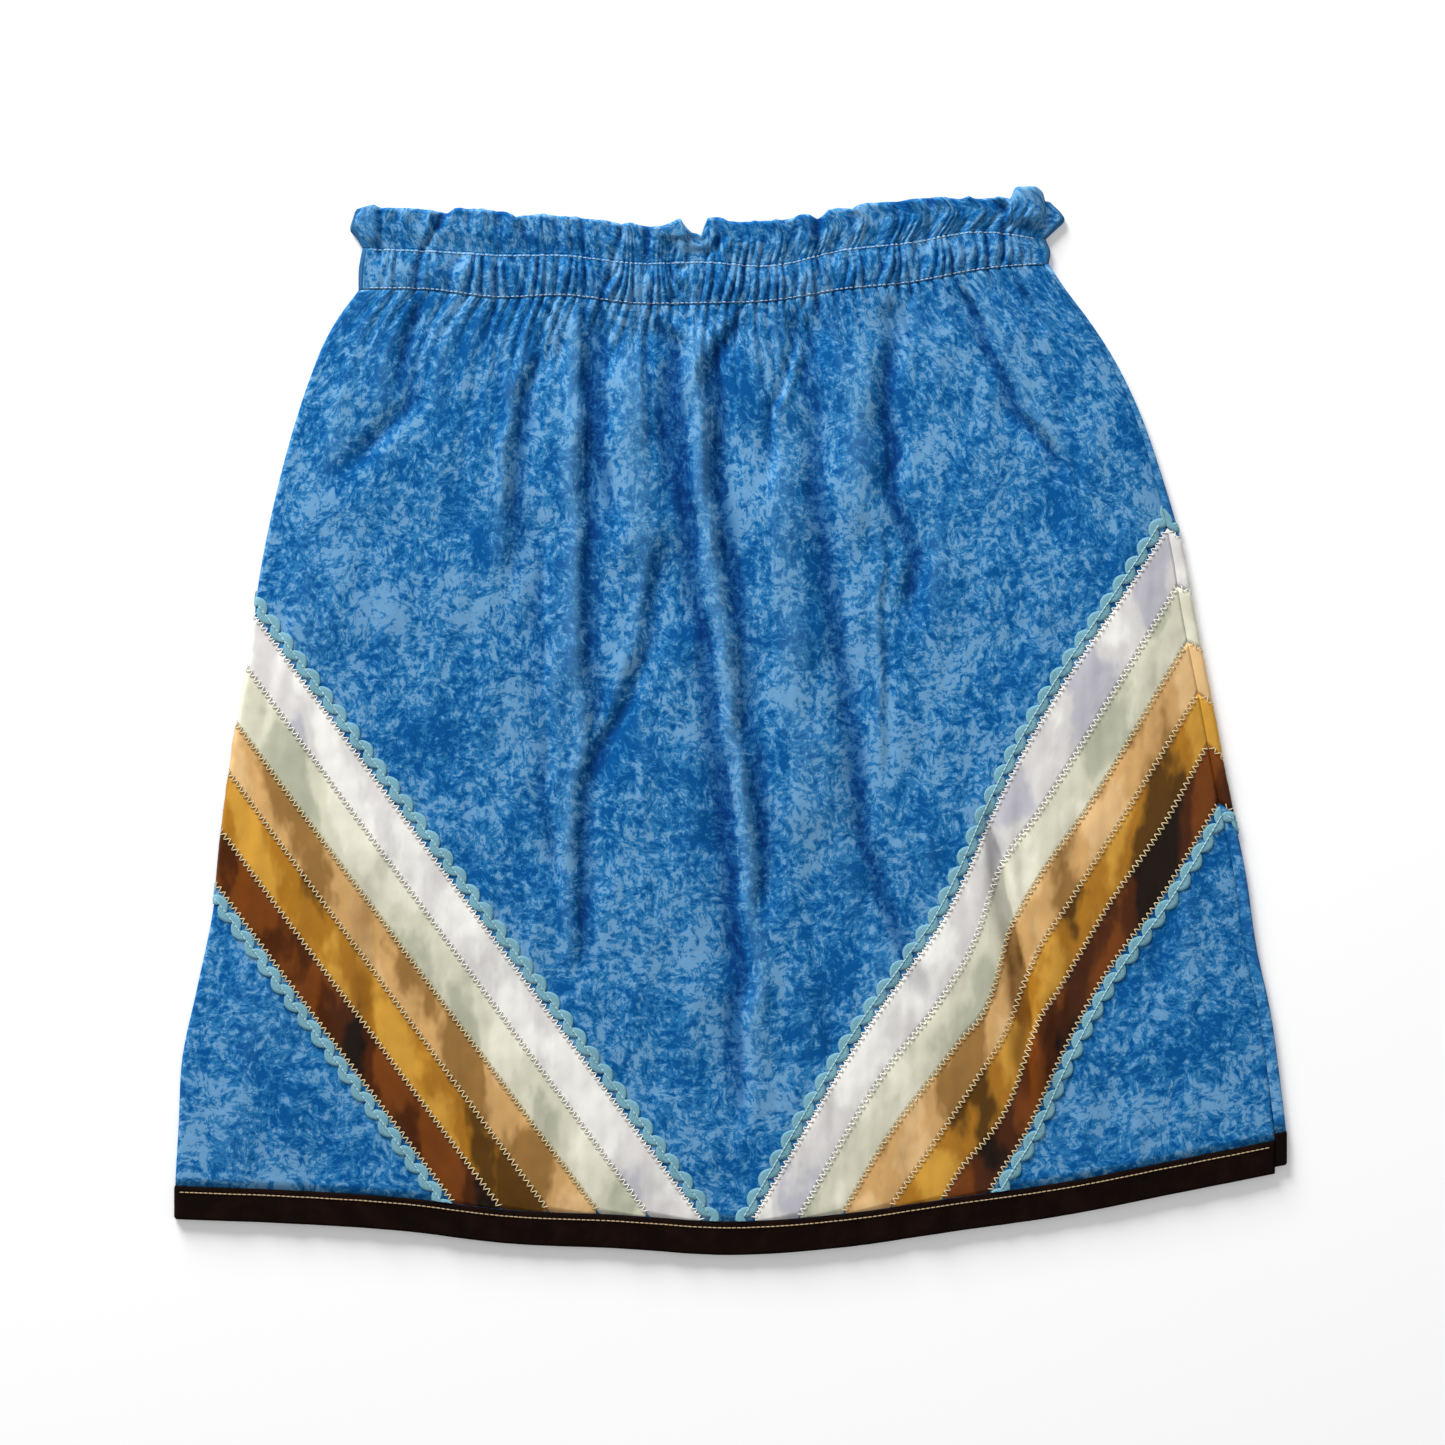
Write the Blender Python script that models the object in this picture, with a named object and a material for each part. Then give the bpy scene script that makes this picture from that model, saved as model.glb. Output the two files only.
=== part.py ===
"""A gathered ribbon skirt laid flat: cotton panels, elastic waist with a ruffle, satin ribbons and rickrack.

Units are metres. X runs across the skirt, Y from the hem to the waist, Z up from the surface it lies on.
The origin is on that surface, in the middle of the skirt's outline. Tables are in millimetres.

The front panel lies on the back panel. The two meet in a side seam at the left fold. At the right the
back panel turns over the fold and meets the front panel in a seam a few millimetres in from the edge.
"""
import math

import bpy
import numpy as np

MM = 0.001

# Wall thicknesses and the gap left at every seam
COTTON = 1.2 * MM
CASING_WALL = 2.2 * MM      # cotton on both sides of the elastic
HEM_WALL = 1.8 * MM         # folded binding
RIBBON_WALL = 1.0 * MM
RICKRACK_WALL = 1.2 * MM
SEAM = 0.3 * MM

# Heights of the laid skirt at its side folds
FOLD_TOP = 4.4 * MM                     # outer face of the front at both side folds
FRONT_LOW = COTTON + SEAM               # where the front's rounded left edge ends, above the back panel
FRONT_ROUND = FOLD_TOP - FRONT_LOW      # outer radius of the front's rounded edge
BACK_ROUND = FOLD_TOP / 2               # outer radius of the back panel's turn at the right fold
LOWEST_RELIEF = -1.45                   # millimetres, so that no trough reaches the back panel
EDGE_ANGLES = (0.0, 30.0, 60.0)         # degrees round the front's rounded edge
TURN_ANGLES = (-90.0, -60.0, -30.0, 0.0, 30.0, 60.0, 90.0)

# Hem and trims
HEM_HEIGHT = 20.0 * MM
HEM_PROUD = 0.4             # millimetres that the binding stands out from the panel
BACK_HEM_RAISE = 4.0        # millimetres that the back hem lies above the front hem
RAISE_START = 0.9           # how far down the body the back begins to lie higher
BACK_RUFFLE_DROP = 1.5 * MM # how much lower the back of the ruffle ends than the front
RIBBON_NAMES = ("white", "ivory", "champagne", "bronze", "brown")
BODY_LENGTH = 540.0 * MM    # from the casing to the hem band
RIBBON_GAP = 0.5 * MM       # between neighbouring ribbons, measured down the panel
RIBBON_TIP = 4.0 * MM       # shortest stretch of a ribbon above the hem band
RICKRACK_WAVE = 13.2 * MM
RICKRACK_SWING = 2.4 * MM   # how far the braid's middle line swings to each side
RICKRACK_HALF = 2.8 * MM    # half the braid's width, measured across the band
RICKRACK_OFFSET = 6.4 * MM  # from the edge ribbon to the rickrack's middle line
RICKRACK_END = 0.6 * MM     # from the last wave to the seam or hem
RICKRACK_SEARCH = 30.0 * MM # how far past the ribbon's ends the rickrack may begin or stop
TURN_SLOPE = 0.78           # cosine of the slope of the trims on the turned strip


def table(columns, *rows):
    """Rows of numbers as one array for each named column."""
    names = columns.split()
    return {name: np.array([row[k] for row in rows], float) for k, name in enumerate(names)}


# Outline of the body between the casing's lower stitching (down 0) and the hem band (down 1).
# seam is the distance of the right side seam from the right fold.
BODY = table(
    "down left right seam",
    (0.00, -224.0, 190.5, 3.0),
    (0.03, -236.0, 201.0, 3.0),
    (0.06, -245.0, 213.0, 3.2),
    (0.10, -253.5, 227.0, 3.4),
    (0.16, -264.0, 243.0, 3.8),
    (0.24, -275.0, 258.0, 4.6),
    (0.32, -283.5, 270.0, 6.6),
    (0.40, -289.0, 277.5, 7.0),
    (0.50, -298.5, 288.0, 7.0),
    (0.60, -306.0, 298.0, 7.0),
    (0.70, -312.0, 309.0, 7.0),
    (0.78, -321.0, 315.0, 7.0),
    (0.86, -330.0, 324.0, 7.0),
    (0.93, -332.0, 329.0, 7.0),
    (1.00, -334.0, 333.0, 7.0),
)

# Lines that run across the skirt: both stitch lines of the casing, the ruffle's top and the hem band's top
ACROSS = table(
    "across lower_stitch upper_stitch ruffle_top hem",
    (0.0, 259.5, 284.7, 308.5, -278.0),
    (0.1, 258.9, 283.5, 306.9, -280.5),
    (0.2, 254.1, 281.1, 306.9, -284.7),
    (0.3, 255.3, 280.8, 303.9, -292.5),
    (0.4, 250.5, 276.3, 298.5, -295.5),
    (0.5, 250.5, 276.9, 300.3, -299.4),
    (0.6, 252.3, 274.8, 301.5, -294.9),
    (0.7, 258.9, 284.0, 307.5, -285.3),
    (0.8, 263.1, 288.6, 313.5, -275.7),
    (0.9, 270.9, 295.0, 315.0, -262.5),
    (1.0, 275.1, 290.1, 313.0, -249.3),
)

# Side edges of the casing and of the ruffle above it, from the lower edge (up 0) to the upper (up 1)
CASING = table(
    "up left right",
    (0.0, -224.0, 190.5),
    (0.5, -223.5, 191.5),
    (1.0, -221.7, 188.7),
)
RUFFLE = table(
    "up left right",
    (0.00, -221.7, 188.7),
    (0.35, -226.0, 196.0),
    (0.65, -229.0, 200.0),
    (1.00, -226.5, 192.0),
)

# Relief in millimetres over the folded edge's height: small gathers at the stitching, the puffed casing
# and the ruffle's wide waves
GATHER_LIFT = 0.9
STITCH_LIFT = 0.3
CASING_PUFF = 1.3
CASING_GATHER = 0.5
RUFFLE_LIFT = 2.4
RUFFLE_WAVE = 3.0
RUFFLE_REACH = 1.3          # how far the waves move the ruffle's top edge up and down
GATHER_END = 0.16           # how far down the body the gathers reach
SIDE_FADE = 0.06            # part of the width over which relief starts at a side edge
FLOOR_BEND = 0.4            # how softly a deep trough levels out
HEM_CALM = 0.45             # part of the folds' height that is gone at the hem
HEM_CALM_START = 0.75
HEM_EDGE_CALM = 0.35        # part of the relief that is gone between the hem band's top and lower edge

# How many gathers, and how many waves of the ruffle, lie in each stretch across the waist
GATHERS = table(
    "start end count",
    (0.00, 0.20, 8),
    (0.20, 0.38, 11),
    (0.38, 0.55, 12),
    (0.55, 0.72, 12),
    (0.72, 0.90, 11),
    (0.90, 1.00, 6),
)
WAVES = table(
    "start end count",
    (0.00, 0.12, 4),
    (0.12, 0.45, 8),
    (0.45, 0.62, 5),
    (0.62, 0.95, 8),
    (0.95, 1.00, 1),
)

# Single forms of the ruffle: place and half width as parts of its width, lift and reach in millimetres
RUFFLE_FORMS = table(
    "across half lift reach",
    (0.020, 0.018, 2.5, 1.5),
    (0.492, 0.014, -3.0, -8.0),
    (0.520, 0.016, 2.5, 1.5),
    (0.664, 0.014, -2.0, -2.5),
    (0.972, 0.022, 5.0, 8.0),
)

# Large folds of the front: depth (below zero for a trough) and half width in millimetres, then the
# fold's line from its upper end to its lower end as (y, x)
FOLDS = {
    "left_hip": (-2.6, 10.0, ((252, -192), (193, -192), (147, -234))),
    "left_upper": (-2.2, 9.0, ((223, -114), (181, -129), (90, -131))),
    "left_long": (-1.8, 9.0, ((125, -116), (20, -114), (-54, -112), (-93, -104))),
    "left_inner": (-2.6, 10.0, ((256, -85), (160, -83), (64, -85), (-15, -81), (-67, -90), (-145, -88))),
    "left_slant": (-2.0, 9.0, ((108, -42), (51, -51), (12, -64), (-19, -81))),
    "middle_long": (-4.5, 9.0, ((240, -37), (181, -33), (90, -18), (-6, -3), (-67, 1), (-154, 6), (-235, 4))),
    "middle_crest": (3.5, 7.0, ((240, -22), (151, -18), (81, -11), (20, -5), (-45, 4), (-89, 6))),
    "middle_short": (-3.0, 8.0, ((230, -9), (151, -8), (99, -3), (55, 4), (-15, 8), (-58, 17), (-111, 19))),
    "right_long": (-3.8, 10.0, ((247, 41), (177, 48), (116, 54), (12, 69), (-80, 82), (-170, 118))),
    "right_thin": (-1.2, 6.0, ((116, 93), (-24, 93))),
    "right_upper": (-3.2, 10.0, ((247, 96), (181, 96), (138, 97), (99, 113), (64, 108))),
    "right_hip": (-2.4, 9.0, ((262, 137), (238, 150), (199, 163), (164, 180), (153, 196))),
    "left_ridge": (2.2, 11.0, ((195, -98), (29, -92))),
    "left_middle_ridge": (3.6, 15.0, ((216, -56), (99, -56))),
    "right_middle_ridge": (3.4, 17.0, ((151, 28), (-67, 45))),
    "right_ridge": (2.6, 12.0, ((216, 77), (115, 77))),
}
FOLD_FADE = 38.0            # millimetres over which a fold starts and ends
SWELL = table("down lift", (0.0, 0.3), (0.08, 2.2), (0.2, 3.0), (0.5, 2.8), (0.8, 2.0), (1.0, 0.8))

# Edges of the ribbons, from above the white ribbon to below the brown one: height at the left fold,
# place at the hem, height at the right seam, place at the hem and height at the right fold
RIBBON_EDGES = table(
    "left_y left_hem_x seam_y right_hem_x turn_y",
    (66.6, -17.0, 115.5, 12.0, 108.0),
    (35.0, -49.0, 81.0, 40.0, 77.0),
    (1.0, -79.0, 47.5, 66.5, 43.0),
    (-28.0, -109.0, 16.5, 95.0, 10.0),
    (-63.0, -137.5, -14.0, 126.0, -23.0),
    (-95.0, -166.0, -49.0, 154.0, -54.0),
)

# Rows of the panels, as parts of the way down; the upper rows carry every gather, the lower ones every second
GATHERED_ROWS = (0.0, 0.035, 0.09)
LOWER_ROWS = (0.17, 0.28, 0.40, 0.52, 0.64, 0.76, 0.88, 1.0)
BACK_ROWS = GATHERED_ROWS + LOWER_ROWS
BACK_COLUMNS = 6

# Finishes as linear colour and roughness
FINISHES = {
    "blue_cotton": ((0.045, 0.19, 0.45), 0.85),
    "white_satin": ((0.75, 0.73, 0.75), 0.35),
    "ivory_satin": ((0.68, 0.70, 0.54), 0.35),
    "champagne_satin": ((0.64, 0.38, 0.14), 0.35),
    "bronze_satin": ((0.43, 0.17, 0.03), 0.35),
    "brown_satin": ((0.09, 0.02, 0.002), 0.35),
    "teal_braid": ((0.16, 0.41, 0.55), 0.8),
    "hem_binding": ((0.006, 0.001, 0.001), 0.8),
}


def read(rows, key, value, at):
    """Read one column of a table on a smooth curve through its rows."""
    knots, values = rows[key], rows[value]
    slopes = np.gradient(values, knots)
    at = np.clip(at, knots[0], knots[-1])
    k = np.clip(np.searchsorted(knots, at, side="right") - 1, 0, len(knots) - 2)
    span = knots[k + 1] - knots[k]
    t = (at - knots[k]) / span
    start = (2 * t**3 - 3 * t**2 + 1) * values[k] + (t**3 - 2 * t**2 + t) * span * slopes[k]
    end = (3 * t**2 - 2 * t**3) * values[k + 1] + (t**3 - t**2) * span * slopes[k + 1]
    return start + end


def ease(t):
    """Rise smoothly from 0 to 1 as t does."""
    t = np.clip(t, 0.0, 1.0)
    return t * t * (3 - 2 * t)


def hump(t):
    """A soft bump, 1 at zero and 0 beyond two."""
    return np.exp(-t * t) * ease(2.5 - np.abs(t))


def uneven(k):
    """A fixed irregular number between 0 and 1 for the k-th gather or wave."""
    return 0.5 + 0.28 * np.sin(2.39 * k + 0.6) + 0.22 * np.sin(5.17 * k + 1.9)


def spaced(stretches):
    """Places across the waist where gathers or waves begin, unevenly spaced within each stretch."""
    places = [0.0]
    index = 0
    for start, end, count in zip(stretches["start"], stretches["end"], stretches["count"]):
        for k in range(1, int(count) + 1):
            index += 1
            shift = 0.0 if k == count else 0.34 * (uneven(index) - 0.5)
            places.append(start + (end - start) * (k + shift) / count)
    return np.array(places)


def with_middles(places):
    """The places and the middles between them: troughs and crests in turn."""
    middles = (places[1:] + places[:-1]) / 2
    both = np.empty(len(places) + len(middles))
    both[0::2] = places
    both[1::2] = middles
    return both


GATHER_COLUMNS = with_middles(spaced(GATHERS))
WIDE_COLUMNS = GATHER_COLUMNS[0::2]
WAVE_COLUMNS = with_middles(spaced(WAVES))


def rippled(columns, across):
    """A wave from -1 in each trough to 1 on each crest, unevenly strong from one to the next."""
    phase = np.interp(across, columns, np.arange(len(columns)))
    strength = 0.55 + 0.45 * uneven(np.floor(phase / 2))
    return -np.cos(math.pi * phase) * strength


def body_sides(down):
    """Left fold, right fold and right seam at one height of the body, in metres."""
    left = read(BODY, "down", "left", down) * MM
    right = read(BODY, "down", "right", down) * MM
    return left, right, right - read(BODY, "down", "seam", down) * MM


def body_height(x, down, raise_hem=0.0):
    """Y of the body at a place across it and a part of the way down."""
    left, right, _ = body_sides(down)
    across = (x - left) / (right - left)
    top = read(ACROSS, "across", "lower_stitch", across) * MM - SEAM / 2
    raised = raise_hem * ease((down - RAISE_START) / (1 - RAISE_START))
    hem = (read(ACROSS, "across", "hem", across) + raised) * MM + SEAM / 2
    return top + (hem - top) * down


def fold_relief(x, y):
    """Height of the large folds over the plain panel, in millimetres, at a place in millimetres."""
    total = np.zeros_like(x)
    for depth, half, line in FOLDS.values():
        heights = np.array([point[0] for point in line], float)[::-1]
        places = np.array([point[1] for point in line], float)[::-1]
        middle = np.interp(y, heights, places)
        start = ease((heights[-1] + FOLD_FADE / 2 - y) / FOLD_FADE)
        end = ease((y - heights[0] + FOLD_FADE / 2) / FOLD_FADE)
        total += depth * start * end * hump((x - middle) / half)
    return total


def soft_floor(relief):
    """Keep a relief above its lowest value with a soft bend."""
    over = relief - LOWEST_RELIEF
    return LOWEST_RELIEF + (over + np.sqrt(over**2 + FLOOR_BEND)) / 2


def side_fade(across):
    """Bring a relief down to nothing at both side edges."""
    return ease(across / SIDE_FADE) * ease((1 - across) / SIDE_FADE)


def panel_relief(across, x, y, down):
    """Relief of the front panel: swell, gathers below the casing and large folds, in millimetres."""
    gathers = rippled(GATHER_COLUMNS, across) * GATHER_LIFT * ease(1 - down / GATHER_END)
    swell = read(SWELL, "down", "lift", down)
    calm = HEM_CALM * ease((down - HEM_CALM_START) / (1 - HEM_CALM_START))
    folds = fold_relief(x / MM, y / MM) * (1 - calm)
    return soft_floor(swell + gathers + folds) * side_fade(across)


def casing_relief(across, up):
    """Relief of the casing: pinched at both stitch lines and full between them, in millimetres."""
    full = math.sin(math.pi * up)
    gathers = (GATHER_LIFT + CASING_GATHER * full) * rippled(GATHER_COLUMNS, across)
    return (STITCH_LIFT + CASING_PUFF * full + gathers) * side_fade(across)


def ruffle_forms(across, column):
    """Lift or reach of the ruffle's single forms, in millimetres."""
    total = np.zeros_like(across)
    for place, half, size in zip(RUFFLE_FORMS["across"], RUFFLE_FORMS["half"], RUFFLE_FORMS[column]):
        total += size * hump((across - place) / half)
    return total


def ruffle_relief(across, up):
    """Relief of the ruffle: gathered at the stitching and in wide waves at its top, in millimetres."""
    open_part = ease(up)
    gathered = STITCH_LIFT + GATHER_LIFT * rippled(GATHER_COLUMNS, across)
    waved = RUFFLE_LIFT + RUFFLE_WAVE * rippled(WAVE_COLUMNS, across) + ruffle_forms(across, "lift")
    return soft_floor(gathered * (1 - open_part) + waved * open_part) * side_fade(across)


def ruffle_top(across):
    """Y of the ruffle's top edge in metres."""
    waves = RUFFLE_REACH * rippled(WAVE_COLUMNS, across) + ruffle_forms(across, "reach")
    return (read(ACROSS, "across", "ruffle_top", across) + waves) * MM


def front_row(left, right, columns, y_at, relief_at, round_right):
    """One section of a front piece: outer points and outward directions, from the left fold rightwards."""
    x = left + FRONT_ROUND + (right - left - FRONT_ROUND * (2 if round_right else 1)) * columns
    step = 0.6 * MM
    wide = x[-1] - x[0]
    ahead = relief_at(columns + step / wide, x + step)
    behind = relief_at(columns - step / wide, x - step)
    slope = (ahead - behind) * MM / (2 * step)
    points = [(px, y_at(px), FOLD_TOP + lift * MM) for px, lift in zip(x, relief_at(columns, x))]
    outward = [(-rise / math.hypot(rise, 1), 0.0, 1 / math.hypot(rise, 1)) for rise in slope]
    for angle in reversed(EDGE_ANGLES):
        side, up = math.cos(math.radians(angle)), math.sin(math.radians(angle))
        edge = left + FRONT_ROUND * (1 - side)
        points.insert(0, (edge, y_at(edge), FRONT_LOW + FRONT_ROUND * up))
        outward.insert(0, (-side, 0.0, up))
        if round_right:
            edge = right - FRONT_ROUND * (1 - side)
            points.append((edge, y_at(edge), FRONT_LOW + FRONT_ROUND * up))
            outward.append((side, 0.0, up))
    return np.array(points), np.array(outward)


def panel_row(down, columns):
    """One section of the front panel."""
    left, _, seam = body_sides(down)
    return front_row(
        left, seam - SEAM / 2, columns,
        lambda x: body_height(x, down),
        lambda across, x: panel_relief(across, x, body_height(x, down), down),
        round_right=False,
    )


def back_places(left, right):
    """Places across the back where its flat layer has points."""
    return np.append(np.linspace(left, right - BACK_ROUND, BACK_COLUMNS + 1), right)


def back_row(down, y_at):
    """One section of the back: flat underneath, turned over the right fold and back to the seam."""
    left, right, seam = body_sides(down)
    flat = back_places(left, right)[:-2]
    points = [(x, y_at(x), 0.0) for x in flat]
    outward = [(0.0, 0.0, -1.0) for _ in flat]
    for angle in TURN_ANGLES:
        side, up = math.cos(math.radians(angle)), math.sin(math.radians(angle))
        x = right - BACK_ROUND * (1 - side)
        points.append((x, y_at(x), BACK_ROUND * (1 + up)))
        outward.append((side, 0.0, up))
    points.append((seam + SEAM / 2, y_at(seam), FOLD_TOP))
    outward.append((0.0, 0.0, 1.0))
    return np.array(points), np.array(outward)


def join_rows(rows):
    """Join sections into a sheet: points, outward directions and triangles.

    Where a section has half the columns of the one before it, each of its columns meets two of them.
    """
    faces = []
    start = 0
    for (above, _), (below, _) in zip(rows, rows[1:]):
        a, b = start, start + len(above)
        same = len(above) == len(below)
        shared = len(below) - 1 if same else len(EDGE_ANGLES)
        for k in range(shared):
            faces += [(a + k, b + k, a + k + 1), (a + k + 1, b + k, b + k + 1)]
        for k in range(len(below) - 1 - shared):
            first, low = a + shared + 2 * k, b + shared + k
            faces += [(first, low, first + 1), (first + 1, low, low + 1), (first + 1, low + 1, first + 2)]
        start = b
    return np.concatenate([row[0] for row in rows]), np.concatenate([row[1] for row in rows]), faces


def wall(sheet, thickness):
    """Give a sheet its thickness: the points and triangles of a closed wall inside the sheet's outer face."""
    points, outward, faces = sheet
    first = points[list(faces[0])]
    if np.dot(np.cross(first[1] - first[0], first[2] - first[0]), outward[faces[0][0]]) < 0:
        faces = [(a, c, b) for a, b, c in faces]
    count = len(points)
    solid = list(faces) + [(a + count, c + count, b + count) for a, b, c in faces]
    edges = {(face[k], face[(k + 1) % 3]) for face in faces for k in range(3)}
    for a, b in sorted(edges):
        if (b, a) not in edges:
            solid += [(b, a, a + count), (b, a + count, b + count)]
    return np.concatenate([points, points - outward * thickness]), solid


class Surface:
    """A panel's outer face, read by column number and part of the way down, on its own triangles."""

    def __init__(self, downs, rows):
        self.downs = np.array(downs)
        self.points = np.array([row[0] for row in rows])
        self.outward = np.array([row[1] for row in rows])
        self.last = self.points.shape[1] - 1

    def at(self, column, down):
        """Point and outward direction."""
        j = int(min(max(math.floor(column), 0), self.last - 1))
        i = int(np.clip(np.searchsorted(self.downs, down, side="right") - 1, 0, len(self.downs) - 2))
        a = column - j
        b = (down - self.downs[i]) / (self.downs[i + 1] - self.downs[i])
        found = []
        for grid in (self.points, self.outward):
            before, after, below, beyond = grid[i, j], grid[i, j + 1], grid[i + 1, j], grid[i + 1, j + 1]
            if a + b <= 1:
                found.append(before + a * (after - before) + b * (below - before))
            else:
                found.append(beyond + (1 - a) * (below - beyond) + (1 - b) * (after - beyond))
        return found[0], found[1] / np.linalg.norm(found[1])

    def crossing(self, column, line):
        """How far down a column crosses a line of the trim, or 1 where the hem comes first."""
        low, high = self.downs[0], 1.0
        if self.at(column, high)[0][1] > line(self.at(column, high)[0][0]):
            return 1.0
        for _ in range(24):
            middle = (low + high) / 2
            point = self.at(column, middle)[0]
            low, high = (middle, high) if point[1] > line(point[0]) else (low, middle)
        return low


def part_down(x, y):
    """How far down the body a place lies."""
    down = 0.5
    for _ in range(8):
        left, right, _ = body_sides(down)
        across = (x - left) / (right - left)
        top = read(ACROSS, "across", "lower_stitch", across) * MM
        hem = read(ACROSS, "across", "hem", across) * MM
        down = float(np.clip((top - y) / (top - hem), 0.0, 1.0))
    return down


def laid_on(surface, places, faces, thickness):
    """A trim whose points are the panel's own, moved out until no part of it cuts the panel."""
    base = [surface.at(column, down) for column, down in places]
    points = np.array([point for point, _ in base])
    outward = np.array([direction for _, direction in base])
    lift = np.zeros(len(places))
    steps = 6
    for face in faces:
        corners = list(face)
        excess = 0.0
        for i in range(steps + 1):
            for j in range(steps + 1 - i):
                weights = np.array([i, j, steps - i - j]) / steps
                column, down = weights @ np.array([places[k] for k in corners])
                gap = surface.at(column, down)[0] - weights @ points[corners]
                excess = max(excess, float(gap @ (weights @ outward[corners])))
        lift[corners] = np.maximum(lift[corners], excess)
    return wall((points + outward * (SEAM + thickness + lift)[:, None], outward, faces), thickness)


def band(stations):
    """Triangles between stations that each have the same number of points."""
    faces = []
    wide = len(stations[0])
    for k in range(len(stations) - 1):
        for m in range(wide - 1):
            a, b = k * wide + m, (k + 1) * wide + m
            faces += [(a, a + 1, b), (a + 1, b + 1, b)]
    return [place for station in stations for place in station], faces


def straight(start, end):
    """Y of a straight line through two points, as a function of x."""
    slope = (end[1] - start[1]) / (end[0] - start[0])
    return lambda x: start[1] + (x - start[0]) * slope


def hem_point(x):
    """Point on the hem band's top edge."""
    return x, float(body_height(x, 1.0))


def fold_point(y, side):
    """Point at height y on the left fold, the right seam or the right fold."""
    down = 0.5
    for _ in range(20):
        places = dict(zip(("left", "right", "seam"), body_sides(down)))
        top = body_height(places[side], 0.0)
        hem = body_height(places[side], 1.0)
        down = float((top - y) / (top - hem))
    return float(dict(zip(("left", "right", "seam"), body_sides(down)))[side]), y


def ribbon_lines(side):
    """The six edges of the five ribbons on one side of the front."""
    start_column, end_column, fold = {
        "left": ("left_y", "left_hem_x", "left"),
        "right": ("seam_y", "right_hem_x", "seam"),
    }[side]
    lines = []
    for start, end in zip(RIBBON_EDGES[start_column], RIBBON_EDGES[end_column]):
        lines.append((fold_point(start * MM, fold), hem_point(end * MM)))
    return lines


def ribbon_edge(surface, column, line, inwards):
    """How far down a column a ribbon's edge lies, half a gap inside the line between two ribbons."""
    down = surface.crossing(column, line)
    return down if down == 1.0 else down + inwards * RIBBON_GAP / 2 / BODY_LENGTH


def ribbon_stations(surface, upper, lower, columns):
    """Points of a ribbon on each of the panel's columns that it crosses, down to the hem."""
    upper, lower = straight(*upper), straight(*lower)
    least = RIBBON_TIP / BODY_LENGTH

    def station(column):
        top = ribbon_edge(surface, column, upper, 1)
        bottom = ribbon_edge(surface, column, lower, -1)
        return [(column, top), (column, (top + bottom) / 2), (column, bottom)]

    stations = []
    for column in columns:
        if ribbon_edge(surface, column, upper, 1) > 1.0 - 2 * least:
            break
        stations.append(station(column))
    inside, outside = stations[-1][0][0], column
    for _ in range(30):
        middle = (inside + outside) / 2
        if ribbon_edge(surface, middle, upper, 1) < 1.0 - least:
            inside = middle
        else:
            outside = middle
    return stations + [station(inside)]


def on_front(x, y):
    """Whether a place lies on the front panel, clear of its rounded edge, seam and hem."""
    down = part_down(x, y)
    left, _, seam = body_sides(down)
    return left + FRONT_ROUND < x < seam - RICKRACK_END and y > hem_point(x)[1] + RICKRACK_END


def rickrack_places(start, end, side):
    """Zigzag edge points of a rickrack that runs beside a ribbon's edge, as places on the panel."""
    start, end = np.array(start), np.array(end)
    along = (end - start) / np.linalg.norm(end - start)
    across = side * np.array((-along[1], along[0]))
    reach = RICKRACK_SWING + RICKRACK_HALF

    def place(distance, offset):
        return start + along * distance + across * (RICKRACK_OFFSET + offset)

    def fits(distance):
        return on_front(*place(distance, reach)) and on_front(*place(distance, -reach))

    first, last = -RICKRACK_SEARCH, float(np.linalg.norm(end - start)) + RICKRACK_SEARCH
    while not fits(first):
        first += SEAM
    while not fits(last):
        last -= SEAM
    turns = max(1, round((last - first) / (RICKRACK_WAVE / 2)))
    stations = []
    for k in range(turns + 1):
        swing = RICKRACK_SWING if k % 2 else -RICKRACK_SWING
        distance = first + (last - first) * k / turns
        edges = (place(distance, swing + RICKRACK_HALF), place(distance, swing - RICKRACK_HALF))
        stations.append([front_place(x, y) for x, y in edges])
    return stations


def front_place(x, y):
    """Column number and part of the way down of a place on the front panel's lower rows."""
    down = part_down(x, y)
    left, _, seam = body_sides(down)
    rounded = len(EDGE_ANGLES)
    inner = x - left - FRONT_ROUND
    if inner < 0:
        side = max(1 - (x - left) / FRONT_ROUND, 0.0)
        return math.degrees(math.acos(min(side, 1.0))) / 90 * rounded, down
    wide = seam - SEAM / 2 - left - FRONT_ROUND
    return rounded + float(np.interp(inner / wide, WIDE_COLUMNS, np.arange(len(WIDE_COLUMNS)))), down


def turned_rickrack(surface, line, way, columns):
    """Places of the rickrack's half wave on the turned strip, above (way -1) or below (way 1) the ribbons."""
    line = straight(*line)
    scale = 1 / (TURN_SLOPE * BODY_LENGTH)
    stations = []
    for k, column in enumerate(columns):
        swing = RICKRACK_SWING * (2 * k / (len(columns) - 1) - 1)
        middle = surface.crossing(column, line) + way * (RICKRACK_OFFSET + swing) * scale
        half = RICKRACK_HALF * scale
        stations.append([(column, middle - half), (column, middle + half)])
    return stations


def finish(name):
    """The material of one finish."""
    colour, roughness = FINISHES[name]
    material = bpy.data.materials.new(name)
    material.use_nodes = True
    shader = material.node_tree.nodes["Principled BSDF"]
    shader.inputs["Base Color"].default_value = (*colour, 1.0)
    shader.inputs["Roughness"].default_value = roughness
    material.diffuse_color = (*colour, 1.0)
    return material


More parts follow.
